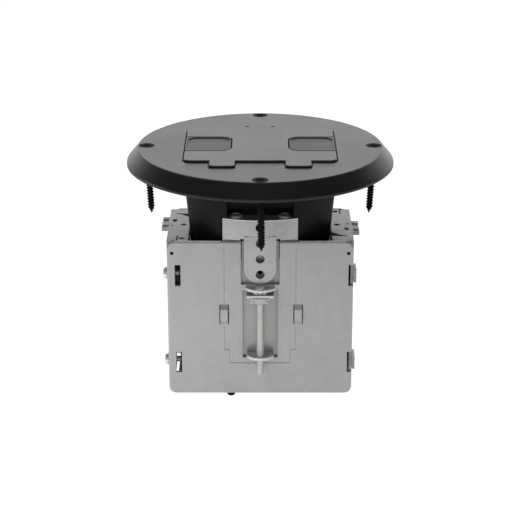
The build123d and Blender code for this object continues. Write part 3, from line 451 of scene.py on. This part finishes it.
# edge is a pale colour mixed in along edges, partly wear and partly a painted highlight
galvanisedLook = {
    "metallic": 0.68, "dark": (0.465, 0.467, 0.47), "light": (0.53, 0.532, 0.53), "edge": (0.9, 0.9, 0.9),
    "crystals": 210.0, "clouds": 38.0, "crystalShare": 0.25, "brush": (260.0, 260.0, 30.0), "smooth": 0.34,
    "rough": 0.43, "brushRough": 0.035, "brushDepth": 0.000012, "pits": 1300.0, "pitDepth": 0.45,
    "edgeRadius": 0.0003, "spread": 6.0, "gaps": 0.36, "edgeWearAndHighlight": 0.8, "burr": 0.6,
}
sidePlateLook = dict(galvanisedLook, dark=(0.3, 0.3, 0.295), light=(0.42, 0.42, 0.41), crystals=240.0,
                     clouds=70.0, pitDepth=0.6)
frameLook = dict(galvanisedLook, dark=(0.41, 0.412, 0.405), light=(0.475, 0.477, 0.467))
# pale finishes of the highlight beads: painted highlights, lighter than the steel itself
paintedEdgeHighlightLook = dict(galvanisedLook, metallic=0.35, dark=(0.72, 0.72, 0.71), light=(0.86, 0.86, 0.85),
                   crystals=900.0, clouds=500.0, edgeWearAndHighlight=0.0)
paintedBendHighlightLook = dict(paintedEdgeHighlightLook, metallic=1.0, dark=(0.9, 0.9, 0.89), light=(0.98, 0.98, 0.97), smooth=0.26,
                rough=0.34)
zincLook = dict(galvanisedLook, dark=(0.47, 0.47, 0.47), light=(0.54, 0.54, 0.535), crystals=420.0,
                clouds=90.0, crystalShare=0.3, brush=(70.0, 500.0, 500.0), smooth=0.28, rough=0.36,
                brushDepth=0.000006, pitDepth=0.2, edgeRadius=0.00035)
rodLook = dict(zincLook, metallic=0.8, dark=(0.76, 0.755, 0.73), light=(0.86, 0.855, 0.83),
               edgeRadius=0.00005, edgeWearAndHighlight=0.1)
pinLook = dict(zincLook, metallic=1.0, dark=(0.55, 0.55, 0.55), light=(0.62, 0.62, 0.62), smooth=0.18,
               rough=0.25)
brassLook = dict(zincLook, metallic=1.0, dark=(0.62, 0.42, 0.16), light=(0.72, 0.5, 0.2),
                 edge=(0.85, 0.66, 0.34), smooth=0.2, rough=0.32, edgeRadius=0.0001)

coverPaint = paintedBlack("coverPaint", coverLook)
lidPaint = paintedBlack("lidPaint", lidLook)
doorPaint = paintedBlack("doorPaint", doorLook)
collarPlastic = paintedBlack("collarPlastic", collarLook)
blackScrewFinish = paintedBlack("blackScrewFinish", screwLook)
sealRubber = paintedBlack("sealRubber", sealLook)
socketPlastic = paintedBlack("socketPlastic", socketLook)
socketBodyPlastic = paintedBlack("socketBodyPlastic", socketBodyLook)
greenFinish = paintedBlack("greenFinish", greenLook)
galvanisedSteel = plainMetal("galvanisedSteel", galvanisedLook)
sidePlateSteel = plainMetal("sidePlateSteel", sidePlateLook)
frameSteel = plainMetal("frameSteel", frameLook)
paintedEdgeHighlight = plainMetal("paintedEdgeHighlight", paintedEdgeHighlightLook)
paintedBendHighlight = plainMetal("paintedBendHighlight", paintedBendHighlightLook)
brightZinc = plainMetal("brightZinc", zincLook)
rodSteel = plainMetal("rodSteel", rodLook)
pinSteel = plainMetal("pinSteel", pinLook)
plainBrass = plainMetal("plainBrass", brassLook)
print("finishes made")


nodeFinishes = {
    coverPaint: ("cover_plate",),
    lidPaint: ("lid",),
    doorPaint: ("left_cord_door", "right_cord_door"),
    collarPlastic: ("collar",),
    sealRubber: ("lid_gasket",),
    galvanisedSteel: ("box_shell",),
    frameSteel: ("device_frame",),
    sidePlateSteel: ("left_side_plate", "right_side_plate"),
    brightZinc: ("front_hanger", "rear_hanger", "front_screw_clip", "rear_screw_clip", "receptacle_yoke"),
    pinSteel: ("lid_hinge_pins", "cord_door_pins"),
    socketPlastic: ("receptacle_face",),
    socketBodyPlastic: ("receptacle_body",),
}


def dressNodes():
    for material, names in nodeFinishes.items():
        for name in names:
            node = nodes[name]
            if not node.material_slots:
                node.data.materials.append(material)
            for slot in node.material_slots:
                slot.material = material


dressNodes()
print("nodes dressed")


# Screws, each with its own sizes; turnRows is the number of mesh rows in one turn of its thread

# half angle of a countersunk head, and its flat top as a share of its radius
sinkAngle = math.radians(41)
sinkTop = 0.96
# radius of the small ring that closes a profile at the axis
closing = 0.05

woodScrew = {
    "headRadius": 4.0, "rimBevel": 0.12, "rimHeight": 0.3, "neckRadius": 1.45, "neckLength": 9.2,
    "outerRadius": 2.05, "runIn": 1.2, "pointLength": 3.4, "tipRadius": 0.2, "tipThread": 0.25,
    "closing": 0.06, "columns": 64, "turnRows": 10,
    "thread": {"pitch": 1.58, "depth": 0.68, "crestShare": 0.8},
    "cut": {"kind": "cross", "width": 1.15, "reach": 2.15, "depth": 1.7, "rise": 0.5, "wall": 0.22},
    "leans": ((-0.0515, 0.0), (0.0, 0.0), (0.0515, 0.0), (0.016, 0.0)),
    "spins": (20.0, 38.0, 12.0, 30.0),
}


def makeWoodScrews():
    low, high = boxInMm("wood_screws")
    p = woodScrew
    head, rim, neck, outer = p["headRadius"], p["rimHeight"], p["neckRadius"], p["outerRadius"]
    length = high[2] - low[2]
    cone = (head - neck) / math.tan(sinkAngle)
    threadRows = int((length - p["neckLength"] - p["pointLength"]) / p["thread"]["pitch"] * p["turnRows"])
    pointRows = int(p["pointLength"] / p["thread"]["pitch"] * p["turnRows"])
    corners = [
        (p["closing"], 0, 0, 0), (head * sinkTop, 0, 0, 26), (head, -p["rimBevel"], 0, 2),
        (head, -rim, 0, 1), (neck, -rim - cone, 0, 6), (neck, -p["neckLength"], 0, 4),
        (outer, -p["neckLength"] - p["runIn"], 1, 8), (outer, -length + p["pointLength"], 1, threadRows),
        (p["tipRadius"], -length, p["tipThread"], pointRows),
    ]
    reach = high[0] - head
    places = []
    for index, (lean, spin) in enumerate(zip(p["leans"], p["spins"])):
        angle = math.radians(90 * index)
        spot = (reach * math.cos(angle), reach * math.sin(angle), high[2])
        places.append((spot, (-lean[0], -lean[1], 1), spin))
    piece = screwSet("woodScrews", corners, p["columns"], p["thread"], p["cut"], places)
    settle(piece, "cover", "wood_screws", blackScrewFinish)


fineThread = {"pitch": 0.794, "depth": 0.32, "crestShare": 0.9, "turnRows": 8}
hangerScrew = {"headRadius": 3.7, "headHeight": 1.5, "shank": 1.72, "columns": 56, "spins": (8, -26, 70, 36),
               "cut": {"kind": "cross", "width": 0.95, "reach": 1.9, "depth": 0.9, "rise": 0.5, "wall": 0.2}}
plateScrew = {"headRadius": 3.2, "headHeight": 2.4, "shank": 1.72, "shankLength": 7.0, "columns": 56,
              "spins": (-15.0, 65.0, 30.0, 110.0),
              "cut": {"kind": "slot", "width": 0.9, "depth": 1.1, "wall": 0.18}}
groundScrew = {"headRadius": 3.6, "headHeight": 2.2, "shank": 2.35, "columns": 56, "spin": 25,
               "thread": {"pitch": 1.06, "depth": 0.4, "crestShare": 0.9, "turnRows": 8},
               "cut": {"kind": "slot", "width": 1.0, "depth": 1.0, "wall": 0.18}}
deviceScrew = {"headRadius": 3.2, "headHeight": 1.4, "shank": 1.67, "columns": 48, "spins": (15.0, 60.0),
               "cut": {"kind": "slot", "width": 0.9, "depth": 0.8, "wall": 0.16}}
terminalScrew = {"headRadius": 3.5, "headHeight": 1.8, "shank": 1.77, "columns": 48, "spins": (0.0, 35.0),
                 "groundSpin": 20, "cut": {"kind": "slot", "width": 1.0, "depth": 0.9, "wall": 0.16}}
collarScrew = {"headRadius": 2.8, "rimHeight": 0.1, "neckRadius": 1.25, "shank": 1.48, "runIn": 0.5,
               "pointLength": 1.0, "tipRadius": 0.2, "columns": 48, "spins": (-18, -2, 32, 48),
               "cut": {"kind": "cross", "width": 0.8, "reach": 1.5, "depth": 1.0, "rise": 0.5, "wall": 0.18}}


# outline of a pan head: share of its radius, share of its height, mesh rows
panHead = ((0.5, 0.97, 14), (0.78, 0.86, 6), (0.93, 0.62, 4), (1.0, 0.34, 3), (1.0, 0.06, 2), (0.97, 0.0, 1))
panShank = {"runInShare": 0.08, "bevel": 0.6, "endShare": 0.72}


def headCorners(radius, height, outline):
    # from the closing ring at the axis along an outline of shares
    corners = [(radius * across, height * up, 0, rows) for across, up, rows in outline]
    return [(closing, height, 0, 0)] + corners


def panCorners(screw, length, thread):
    # low rounded head, its underside, a threaded shank and a blunt end
    shank = screw["shank"]
    rows = max(2, int(length / thread["pitch"] * thread["turnRows"]))
    return headCorners(screw["headRadius"], screw["headHeight"], panHead) + [
        (shank, 0, 0, 3), (shank, -length * panShank["runInShare"], 1, 2),
        (shank, -length + panShank["bevel"], 1, rows), (shank * panShank["endShare"], -length, 0, 2),
        (closing, -length, 0, 2),
    ]


def fourPlaces(x, y, z, spins):
    # heads up, at the corners of a rectangle about the middle
    corners = [(sx * x, sy * y, z) for sx in (-1, 1) for sy in (-1, 1)]
    return [(corner, (0, 0, 1), spin) for corner, spin in zip(corners, spins)]


def makeHangerScrews():
    low, high = boxInMm("hanger_screws")
    p = hangerScrew
    seat = high[2] - p["headHeight"]
    places = fourPlaces(high[0] - p["headRadius"], high[1] - p["headRadius"], seat, p["spins"])
    corners = panCorners(p, seat - low[2], fineThread)
    piece = screwSet("hangerScrews", corners, p["columns"], fineThread, p["cut"], places)
    settle(piece, "cover", "hanger_screws", rodSteel)


def makePlateScrews():
    low, high = boxInMm("side_plate_screws")
    p = plateScrew
    head = p["headRadius"]
    seatX = high[0] - p["headHeight"]
    y = high[1] - head
    spots = [(side, z) for z in (high[2] - head, low[2] + head) for side in (-1, 1)]
    places = [((side * seatX, side * y, z), (side, 0, 0), spin)
              for (side, z), spin in zip(spots, p["spins"])]
    corners = panCorners(p, p["shankLength"], fineThread)
    piece = screwSet("platesScrews", corners, p["columns"], fineThread, p["cut"], places)
    settle(piece, "box", "side_plate_screws", rodSteel)


def makeGroundScrew():
    low, high = boxInMm("ground_screw")
    p = groundScrew
    seat = high[2] - p["headHeight"]
    corners = panCorners(p, seat - low[2], p["thread"])
    centre = (low + high) / 2
    places = [((centre[0], centre[1], seat), (0, 0, 1), p["spin"])]
    piece = screwSet("groundScrew", corners, p["columns"], p["thread"], p["cut"], places)
    settle(piece, "box", "ground_screw", blackScrewFinish)


def makeDeviceScrews():
    low, high = boxInMm("device_screws")
    p = deviceScrew
    seat = high[2] - p["headHeight"]
    x = high[0] - p["headRadius"]
    corners = panCorners(p, seat - low[2], fineThread)
    places = [((side * x, 0, seat), (0, 0, 1), spin) for side, spin in zip((-1, 1), p["spins"])]
    piece = screwSet("deviceScrews", corners, p["columns"], fineThread, p["cut"], places)
    settle(piece, "carriage", "device_screws", brightZinc)


def makeTerminalScrews(name, node, sideY, material):
    low, high = boxInMm(node)
    p = terminalScrew
    centreZ = (low[2] + high[2]) / 2
    outer = max(abs(low[1]), abs(high[1]))
    inner = min(abs(low[1]), abs(high[1]))
    seat = outer - p["headHeight"]
    x = high[0] - p["headRadius"]
    corners = panCorners(p, seat - inner, fineThread)
    places = [((side * x, sideY * seat, centreZ), (0, sideY, 0), spin)
              for side, spin in zip((-1, 1), p["spins"])]
    piece = screwSet(name, corners, p["columns"], fineThread, p["cut"], places)
    settle(piece, "carriage", node, material)


def makeDeviceGroundScrew():
    low, high = boxInMm("device_ground_screw")
    p = terminalScrew
    seat = low[0] + p["headHeight"]
    centre = (low + high) / 2
    corners = panCorners(p, high[0] - seat, fineThread)
    places = [((seat, centre[1], centre[2]), (-1, 0, 0), p["groundSpin"])]
    piece = screwSet("deviceGroundScrew", corners, p["columns"], fineThread, p["cut"], places)
    settle(piece, "carriage", "device_ground_screw", greenFinish)


def makeCollarScrews():
    low, high = boxInMm("collar_screws")
    p = collarScrew
    head, rim, neck, shank = p["headRadius"], p["rimHeight"], p["neckRadius"], p["shank"]
    length = high[2] - low[2]
    cone = (head - neck) / math.tan(sinkAngle)
    neckLength = high[2]
    corners = [
        (closing, 0, 0, 0), (head * sinkTop, 0, 0, 20), (head, -rim, 0, 2), (neck, -rim - cone, 0, 4),
        (neck, -neckLength, 0, 2), (shank, -neckLength - p["runIn"], 1, 3),
        (shank, -length + p["pointLength"], 1, 48), (p["tipRadius"], -length, 0, 4),
    ]
    places = fourPlaces(high[0] - head, high[1] - head, high[2], p["spins"])
    piece = screwSet("collarScrews", corners, p["columns"], fineThread, p["cut"], places)
    settle(piece, "cover", "collar_screws", brightZinc)


heightRod = {
    "shank": 2.08, "buttonRadius": 2.8, "buttonHeight": 0.8, "plainLength": 2.2, "runIn": 0.8,
    "endBevel": 0.6, "columns": 40, "turnRows": 7,
    "button": ((0.86, 1.0, 16), (1.0, 0.7, 2), (1.0, 0.0625, 1), (0.97, 0.0, 1)),
    "thread": {"pitch": 0.794, "depth": 0.17, "crestShare": 0.95},
    "cut": {"kind": "slot", "width": 0.9, "depth": 0.6, "wall": 0.15},
}


def makeHeightRod(name, node, body, spin):
    low, high = boxInMm(node)
    p = heightRod
    top = high[2] - p["buttonHeight"]
    centre = (low + high) / 2
    length = top - low[2]
    rows = int(length / p["thread"]["pitch"] * p["turnRows"])
    shank = p["shank"]
    corners = headCorners(p["buttonRadius"], p["buttonHeight"], p["button"]) + [
        (shank, 0, 0, 2), (shank, -p["plainLength"], 0, 2), (shank, -p["plainLength"] - p["runIn"], 1, 6),
        (shank, -length + p["endBevel"], 1, rows), (shank - p["endBevel"], -length, 0, 3),
        (closing, -length, 0, 2),
    ]
    places = [((centre[0], centre[1], top), (0, 0, 1), spin)]
    piece = screwSet(name, corners, p["columns"], p["thread"], p["cut"], places)
    settle(piece, body, node, rodSteel)


makeWoodScrews()
makeHangerScrews()
makePlateScrews()
makeGroundScrew()
makeDeviceScrews()
makeTerminalScrews("brassTerminalScrews", "terminal_screws_brass", -1, plainBrass)
makeTerminalScrews("silverTerminalScrews", "terminal_screws_silver", 1, brightZinc)
makeDeviceGroundScrew()
makeCollarScrews()
makeHeightRod("frontHeightRod", "front_height_screw", "front_rod", 35)
makeHeightRod("rearHeightRod", "rear_height_screw", "rear_rod", 80)
print("screws and rods made")


# Bright beads that paint highlights along edges, and the captive nuts

highlightBeadLook = {
    "thick": 0.22, "plateY": -26.9, "plateTop": -36.2, "plateInner": 20.8, "plateCorner": 4.3,
    "plateWide": 0.8, "lugReach": 35.4, "lugSide": 31.17, "lugRoot": 27.9, "lugWide": 0.8,
    "lugs": ((7.7, -61.8), (7.1, -101.0)), "frameLugHalf": 7.2, "frameLugY": -35.2, "frameLugZ": -64.8,
    "frameLugWide": 0.7,
    "hangerHalf": 19.8, "hangerRadius": 53.0, "hangerReach": 29.3, "hangerTop": -23.9, "bendRadius": 0.34,
    "columns": 12, "arcPoints": 25,
}


def beadSet(name, beads):
    # an ellipse carried along a path as a painted highlight bead: point + out * thick * cos + across * wide
    # * sin, at the front and, half a turn round the upright axis, at the rear
    columns = highlightBeadLook["columns"]
    turn = np.linspace(0, 2 * math.pi, columns, endpoint=False)[None, :, None]
    points, faces = [], []
    for path, out, across, thick, wide in beads:
        ring = path[:, None] + out[:, None] * thick * np.cos(turn) + across[:, None] * wide * np.sin(turn)
        front = np.concatenate([path[:1], ring.reshape(-1, 3), path[-1:]])
        for bead in (front, front * np.array([-1.0, -1.0, 1.0])):
            faces += gridFaces(len(path), columns, sum(len(p) for p in points))
            points.append(bead)
    return makePiece(name, np.concatenate(points) * mm, faces)


def straightBead(start, end, out, across, thick, wide):
    path = np.array([start, end], dtype=float)
    return path, np.tile(np.array(out, float), (2, 1)), np.tile(np.array(across, float), (2, 1)), thick, wide


def arcBead(radius, reach, half, z, thick, wide, rootY=None):
    # along an arc that bows out to the front, with straight runs back to rootY at both its ends if given
    swing = math.asin(half / radius)
    angle = np.linspace(-swing, swing, highlightBeadLook["arcPoints"])
    level = np.full(len(angle), z)
    path = np.stack([radius * np.sin(angle), radius - reach - radius * np.cos(angle), level], axis=-1)
    out = np.stack([np.sin(angle), -np.cos(angle), np.zeros(len(angle))], axis=-1)
    if rootY is not None:
        path = np.concatenate([[[-half, rootY, z]], path, [[half, rootY, z]]])
        out = np.concatenate([[[-1.0, 0.0, 0.0]], out, [[1.0, 0.0, 0.0]]])
    return path, out, np.tile([0.0, 0.0, 1.0], (len(path), 1)), thick, wide


def makeHighlightBeads():
    # bright beads along the front plate's top edge, the lugs, the frame lug and the hanger's top bend:
    # painted highlights on those edges
    p = highlightBeadLook
    outer = boxInMm("box_shell")[1][0] - p["plateCorner"]
    beads = []
    for start, end in ((-outer, -p["plateInner"]), (p["plateInner"], outer)):
        beads.append(straightBead((start, p["plateY"], p["plateTop"]), (end, p["plateY"], p["plateTop"]),
                                  (0, 0, 1), (0, 1, 0), p["thick"], p["plateWide"]))
    for half, z in p["lugs"]:
        bow = p["lugReach"] - p["lugSide"]
        radius = (half ** 2 + bow ** 2) / (2 * bow)
        beads.append(arcBead(radius, p["lugReach"], half, z, p["thick"], p["lugWide"], -p["lugRoot"]))
    settle(beadSet("boxEdgeHighlights", beads), "box", None, paintedEdgeHighlight)
    half, y, z = p["frameLugHalf"], p["frameLugY"], p["frameLugZ"]
    bead = straightBead((-half, y, z), (half, y, z), (0, -1, 0), (0, 0, 1), p["thick"], p["frameLugWide"])
    settle(beadSet("frameLugEdgeHighlights", [bead]), "carriage", None, paintedEdgeHighlight)
    bead = arcBead(p["hangerRadius"], p["hangerReach"], p["hangerHalf"], p["hangerTop"], p["bendRadius"],
                   p["bendRadius"])
    settle(beadSet("hangerBendHighlights", [bead]), "cover", None, paintedBendHighlight)


nutLook = {
    "y": 32.0, "halfX": 5.5, "halfY": 4.0, "height": 4.0, "corner": 1.75, "lowerCorner": 1.7,
    "topBevel": 0.15, "bore": 2.25, "columns": 64, "bendPoints": 8, "rivetX": 3.85, "rivetDrop": 2.0,
    "rivetColumns": 32,
    "rivet": [(0.05, 0.34, 0, 0), (0.5, 0.32, 0, 4), (0.85, 0.2, 0, 3), (1.0, 0, 0, 2), (1.0, -0.6, 0, 1),
              (0.05, -0.6, 0, 1)],
}


def makeNuts():
    # a rounded rectangle carried down the nut's side and in under its lower corner, then back up the bore
    top = boxInMm("carriage_nuts")[1][2]
    p = nutLook
    angle = np.linspace(0, 2 * math.pi, p["columns"], endpoint=False)
    c, s = np.cos(angle)[None, :], np.sin(angle)[None, :]
    bend = np.linspace(0, math.pi / 2, p["bendPoints"])
    straight = p["height"] - p["lowerCorner"]
    inset = np.concatenate([[p["topBevel"], 0], p["lowerCorner"] * (1 - np.cos(bend))])[:, None]
    drop = np.concatenate([[0, p["topBevel"]], straight + p["lowerCorner"] * np.sin(bend)])[:, None]
    x = np.sign(np.round(c, 9)) * (p["halfX"] - p["corner"]) + (p["corner"] - inset) * c
    y = np.sign(np.round(s, 9)) * (p["halfY"] - p["corner"]) + (p["corner"] - inset) * s
    x = np.concatenate([x, p["bore"] * c, p["bore"] * c])
    y = np.concatenate([y, p["bore"] * s, p["bore"] * s]) - p["y"]
    z = top - np.concatenate([drop, [[p["height"]], [0.0]]]) + 0 * x
    body = np.stack([x, y, z], axis=-1).reshape(-1, 3)
    rows, columns = x.shape
    row, column = np.arange(rows)[:, None], np.arange(columns)[None, :]
    below, after = (row + 1) % rows * columns, (column + 1) % columns
    quads = np.stack([row * columns + column, below + column, below + after, row * columns + after], axis=-1)
    quads = quads.reshape(-1, 4)
    points = np.concatenate([body, body * np.array([-1.0, -1.0, 1.0])]) * mm
    piece = makePiece("carriageNuts", points, np.concatenate([quads, quads + len(body)]).tolist())
    settle(piece, "carriage", "carriage_nuts", brightZinc)
    plain = {"pitch": 1.0, "depth": 0.0, "crestShare": 1.0}
    places = [((sx * p["rivetX"], sy * (p["y"] + p["halfY"]), top - p["rivetDrop"]), (0, sy, 0), 0)
              for sx in (-1, 1) for sy in (-1, 1)]
    rivets = screwSet("nutRivets", p["rivet"], p["rivetColumns"], plain, None, places)
    settle(rivets, "carriage", "carriage_nuts", brightZinc)


makeHighlightBeads()
makeNuts()
print("edges and nuts made")


# Stage, light and camera

stageLook = {
    "floorDrop": 0.0275, "reach": 6.0, "floorColour": (0.8, 0.8, 0.8), "roughness": 0.9, "cameraGlow": 0.9,
    "shadowShare": 0.3, "glossLeft": 0.93, "glossRight": 0.51, "turnWidth": 0.1, "glossFarRight": 0.95,
    "rightFrom": 0.12, "rightTo": 0.24, "farGlow": 0.08, "nearReach": 0.42, "farReach": 0.53,
    "shadowUnderGlow": 0.4, "shadowUnderFrom": 0.03, "shadowUnderTo": 0.25, "rearFrom": 0.4, "rearTo": 1.6,
}


def stagePlane(name, corners):
    mesh = bpy.data.meshes.new(name)
    mesh.from_pydata(corners, [], [(0, 1, 2, 3)])
    plane = bpy.data.objects.new(name, mesh)
    bpy.context.scene.collection.objects.link(plane)
    return plane


def stageMaterial(name):
    # pale matt surface that the camera sees as white and that keeps the object's soft shadow; metal mirrors
    # it bright beside the object, most on the left and far right, and bright behind it, and dim further off
    # in front;
    # close under the object the mirrored glow is dimmed as a painted shadow of the object
    material, tree, shader = startMaterial(name)
    shader.inputs["Base Color"].default_value = (*stageLook["floorColour"], 1.0)
    shader.inputs["Roughness"].default_value = stageLook["roughness"]
    shader.inputs["Specular IOR Level"].default_value = 0.0
    path = addNode(tree, "ShaderNodeLightPath")
    seen = addMath(tree, "MULTIPLY", path.outputs["Is Camera Ray"], stageLook["cameraGlow"])
    mirrored = addMath(tree, "MAXIMUM", path.outputs["Is Glossy Ray"], path.outputs["Is Transmission Ray"])
    place = addNode(tree, "ShaderNodeTexCoord")
    split = addNode(tree, "ShaderNodeSeparateXYZ")
    tree.links.new(place.outputs["Object"], split.inputs[0])
    middle = rangeOf(tree, split.outputs["X"], stageLook["glossLeft"], stageLook["glossRight"],
                     -stageLook["turnWidth"], stageLook["turnWidth"])
    right = rangeOf(tree, split.outputs["X"], 0.0, stageLook["glossFarRight"], stageLook["rightFrom"],
                    stageLook["rightTo"])
    across = addMath(tree, "MAXIMUM", middle, right)
    away = addNode(tree, "ShaderNodeVectorMath", operation="LENGTH")
    tree.links.new(place.outputs["Object"], away.inputs[0])
    near = rangeOf(tree, away.outputs["Value"], 1.0, stageLook["farGlow"], stageLook["nearReach"],
                   stageLook["farReach"])
    # the mirrored glow dimmed close under the object: a painted shadow of the object in its reflection
    under = rangeOf(tree, away.outputs["Value"], stageLook["shadowUnderGlow"], 1.0, stageLook["shadowUnderFrom"],
                    stageLook["shadowUnderTo"])
    rear = rangeOf(tree, split.outputs["Y"], 0.0, 1.0, stageLook["rearFrom"], stageLook["rearTo"])
    beside = addMath(tree, "MULTIPLY", addMath(tree, "MULTIPLY", across, near), under)
    glow = addMath(tree, "MAXIMUM", beside, rear)
    both = addMath(tree, "MAXIMUM", seen, addMath(tree, "MULTIPLY", mirrored, glow))
    glowing = addNode(tree, "ShaderNodeEmission")
    tree.links.new(both, glowing.inputs["Strength"])
    either = addMath(tree, "MAXIMUM", path.outputs["Is Camera Ray"], mirrored)
    fade = addMath(tree, "SUBTRACT", 1.0, addMath(tree, "MULTIPLY", either, 1 - stageLook["shadowShare"]))
    matt = addNode(tree, "ShaderNodeMixShader")
    clear = addNode(tree, "ShaderNodeBsdfDiffuse", {"Color": (0, 0, 0, 1)})
    tree.links.new(fade, matt.inputs["Fac"])
    tree.links.new(clear.outputs[0], matt.inputs[1])
    tree.links.new(shader.outputs[0], matt.inputs[2])
    total = addNode(tree, "ShaderNodeAddShader")
    tree.links.new(matt.outputs[0], total.inputs[0])
    tree.links.new(glowing.outputs[0], total.inputs[1])
    tree.links.new(total.outputs[0], tree.nodes["Material Output"].inputs["Surface"])
    return material


def makeStage():
    # the floor lies as far under the box as the box can be let down on its hangers
    reach, level = stageLook["reach"], cadBox[0][2] - stageLook["floorDrop"]
    floor = stagePlane("floor", [(-reach, -reach, level), (reach, -reach, level), (reach, reach, level),
                                 (-reach, reach, level)])
    floor.data.materials.append(stageMaterial("paleFloor"))


worldLook = {"diffuse": 0.62, "glossFront": 0.03, "glossRear": 1.14, "turnFrom": 0.35, "turnTo": 1.01,
             "leftDim": 0.07, "overhead": 0.28, "overheadFrom": 0.9, "lowFront": 0.42, "lowFrom": 0.42,
             "lowTo": 0.7, "frontFrom": -0.75, "frontTo": -0.35}


def makeWorld():
    # white to the camera; reflections see a white studio behind the object, a little dimmer at the left, a
    # soft panel straight above it, a low one in front of it and dim walls elsewhere
    world = bpy.data.worlds.new("studio")
    bpy.context.scene.world = world
    world.use_nodes = True
    tree = world.node_tree
    background = tree.nodes["Background"]
    background.inputs["Color"].default_value = (1.0, 1.0, 1.0, 1.0)
    place = addNode(tree, "ShaderNodeTexCoord")
    split = addNode(tree, "ShaderNodeSeparateXYZ")
    tree.links.new(place.outputs["Generated"], split.inputs[0])
    depth = addNode(tree, "ShaderNodeMapRange", interpolation_type="SMOOTHSTEP")
    depth.inputs["From Min"].default_value = worldLook["turnFrom"]
    depth.inputs["From Max"].default_value = worldLook["turnTo"]
    depth.inputs["To Min"].default_value = worldLook["glossFront"]
    depth.inputs["To Max"].default_value = worldLook["glossRear"]
    aside = addMath(tree, "MULTIPLY", split.outputs["X"], worldLook["leftDim"])
    tree.links.new(addMath(tree, "ADD", split.outputs["Y"], aside), depth.inputs["Value"])
    panel = rangeOf(tree, split.outputs["Z"], 0.0, worldLook["overhead"], worldLook["overheadFrom"], 1.0)
    low = rangeOf(tree, split.outputs["Z"], worldLook["lowFront"], 0.0, worldLook["lowFrom"],
                  worldLook["lowTo"])
    front = rangeOf(tree, split.outputs["Y"], 1.0, 0.0, worldLook["frontFrom"], worldLook["frontTo"])
    lit = addMath(tree, "MAXIMUM", panel, addMath(tree, "MULTIPLY", low, front))
    walls = addMath(tree, "MAXIMUM", depth.outputs["Result"], lit)
    path = addNode(tree, "ShaderNodeLightPath")
    mirrored = addMath(tree, "MAXIMUM", path.outputs["Is Glossy Ray"], path.outputs["Is Transmission Ray"])
    gloss = addNode(tree, "ShaderNodeMix", data_type="FLOAT")
    gloss.inputs["A"].default_value = worldLook["diffuse"]
    tree.links.new(mirrored, gloss.inputs["Factor"])
    tree.links.new(walls, gloss.inputs["B"])
    final = addNode(tree, "ShaderNodeMix", data_type="FLOAT")
    final.inputs["B"].default_value = 1.0
    tree.links.new(path.outputs["Is Camera Ray"], final.inputs["Factor"])
    tree.links.new(gloss.outputs["Result"], final.inputs["A"])
    tree.links.new(final.outputs["Result"], background.inputs["Strength"])


lampAim = (0, 0, -0.05)
lamps = {
    "key": {"at": (-1.1, -0.9, 1.0), "size": 0.9, "power": 9.0, "glossy": False},
    "side": {"at": (-1.5, 0.25, 0.15), "size": 0.7, "power": 1.5, "glossy": True},
    "top": {"at": (0.1, 0.7, 1.5), "size": 1.2, "power": 8.0, "glossy": False},
}


def makeLamps():
    for name, lamp in lamps.items():
        data = bpy.data.lights.new(name, "AREA")
        data.shape = "DISK"
        data.size = lamp["size"]
        data.energy = lamp["power"]
        light = bpy.data.objects.new(name, data)
        bpy.context.scene.collection.objects.link(light)
        light.location = lamp["at"]
        aim = Vector(lampAim) - Vector(lamp["at"])
        light.rotation_euler = aim.to_track_quat("-Z", "Y").to_euler()
        light.visible_camera = False
        light.visible_glossy = lamp["glossy"]


cameraView = {
    "target": (0.0, 0.0, -0.05743), "distance": 0.9, "elevation": 20.49, "focalPixels": 1637.1,
    "imagePixels": 522, "shiftX": 0.0015, "sensorWidth": 36.0, "clipStart": 0.05, "clipEnd": 20.0,
}


def makeCamera():
    data = bpy.data.cameras.new("camera")
    data.sensor_width = cameraView["sensorWidth"]
    data.lens = cameraView["focalPixels"] / cameraView["imagePixels"] * data.sensor_width
    data.shift_x = cameraView["shiftX"]
    data.clip_start = cameraView["clipStart"]
    data.clip_end = cameraView["clipEnd"]
    camera = bpy.data.objects.new("camera", data)
    bpy.context.scene.collection.objects.link(camera)
    lift = math.radians(cameraView["elevation"])
    back = Vector((0.0, -math.cos(lift), math.sin(lift)))
    camera.location = Vector(cameraView["target"]) + back * cameraView["distance"]
    camera.rotation_euler = (-back).to_track_quat("-Z", "Y").to_euler()
    bpy.context.scene.camera = camera


makeStage()
makeWorld()
makeLamps()
makeCamera()
bpy.context.scene.view_settings.view_transform = "Standard"
print("stage, light and camera set")
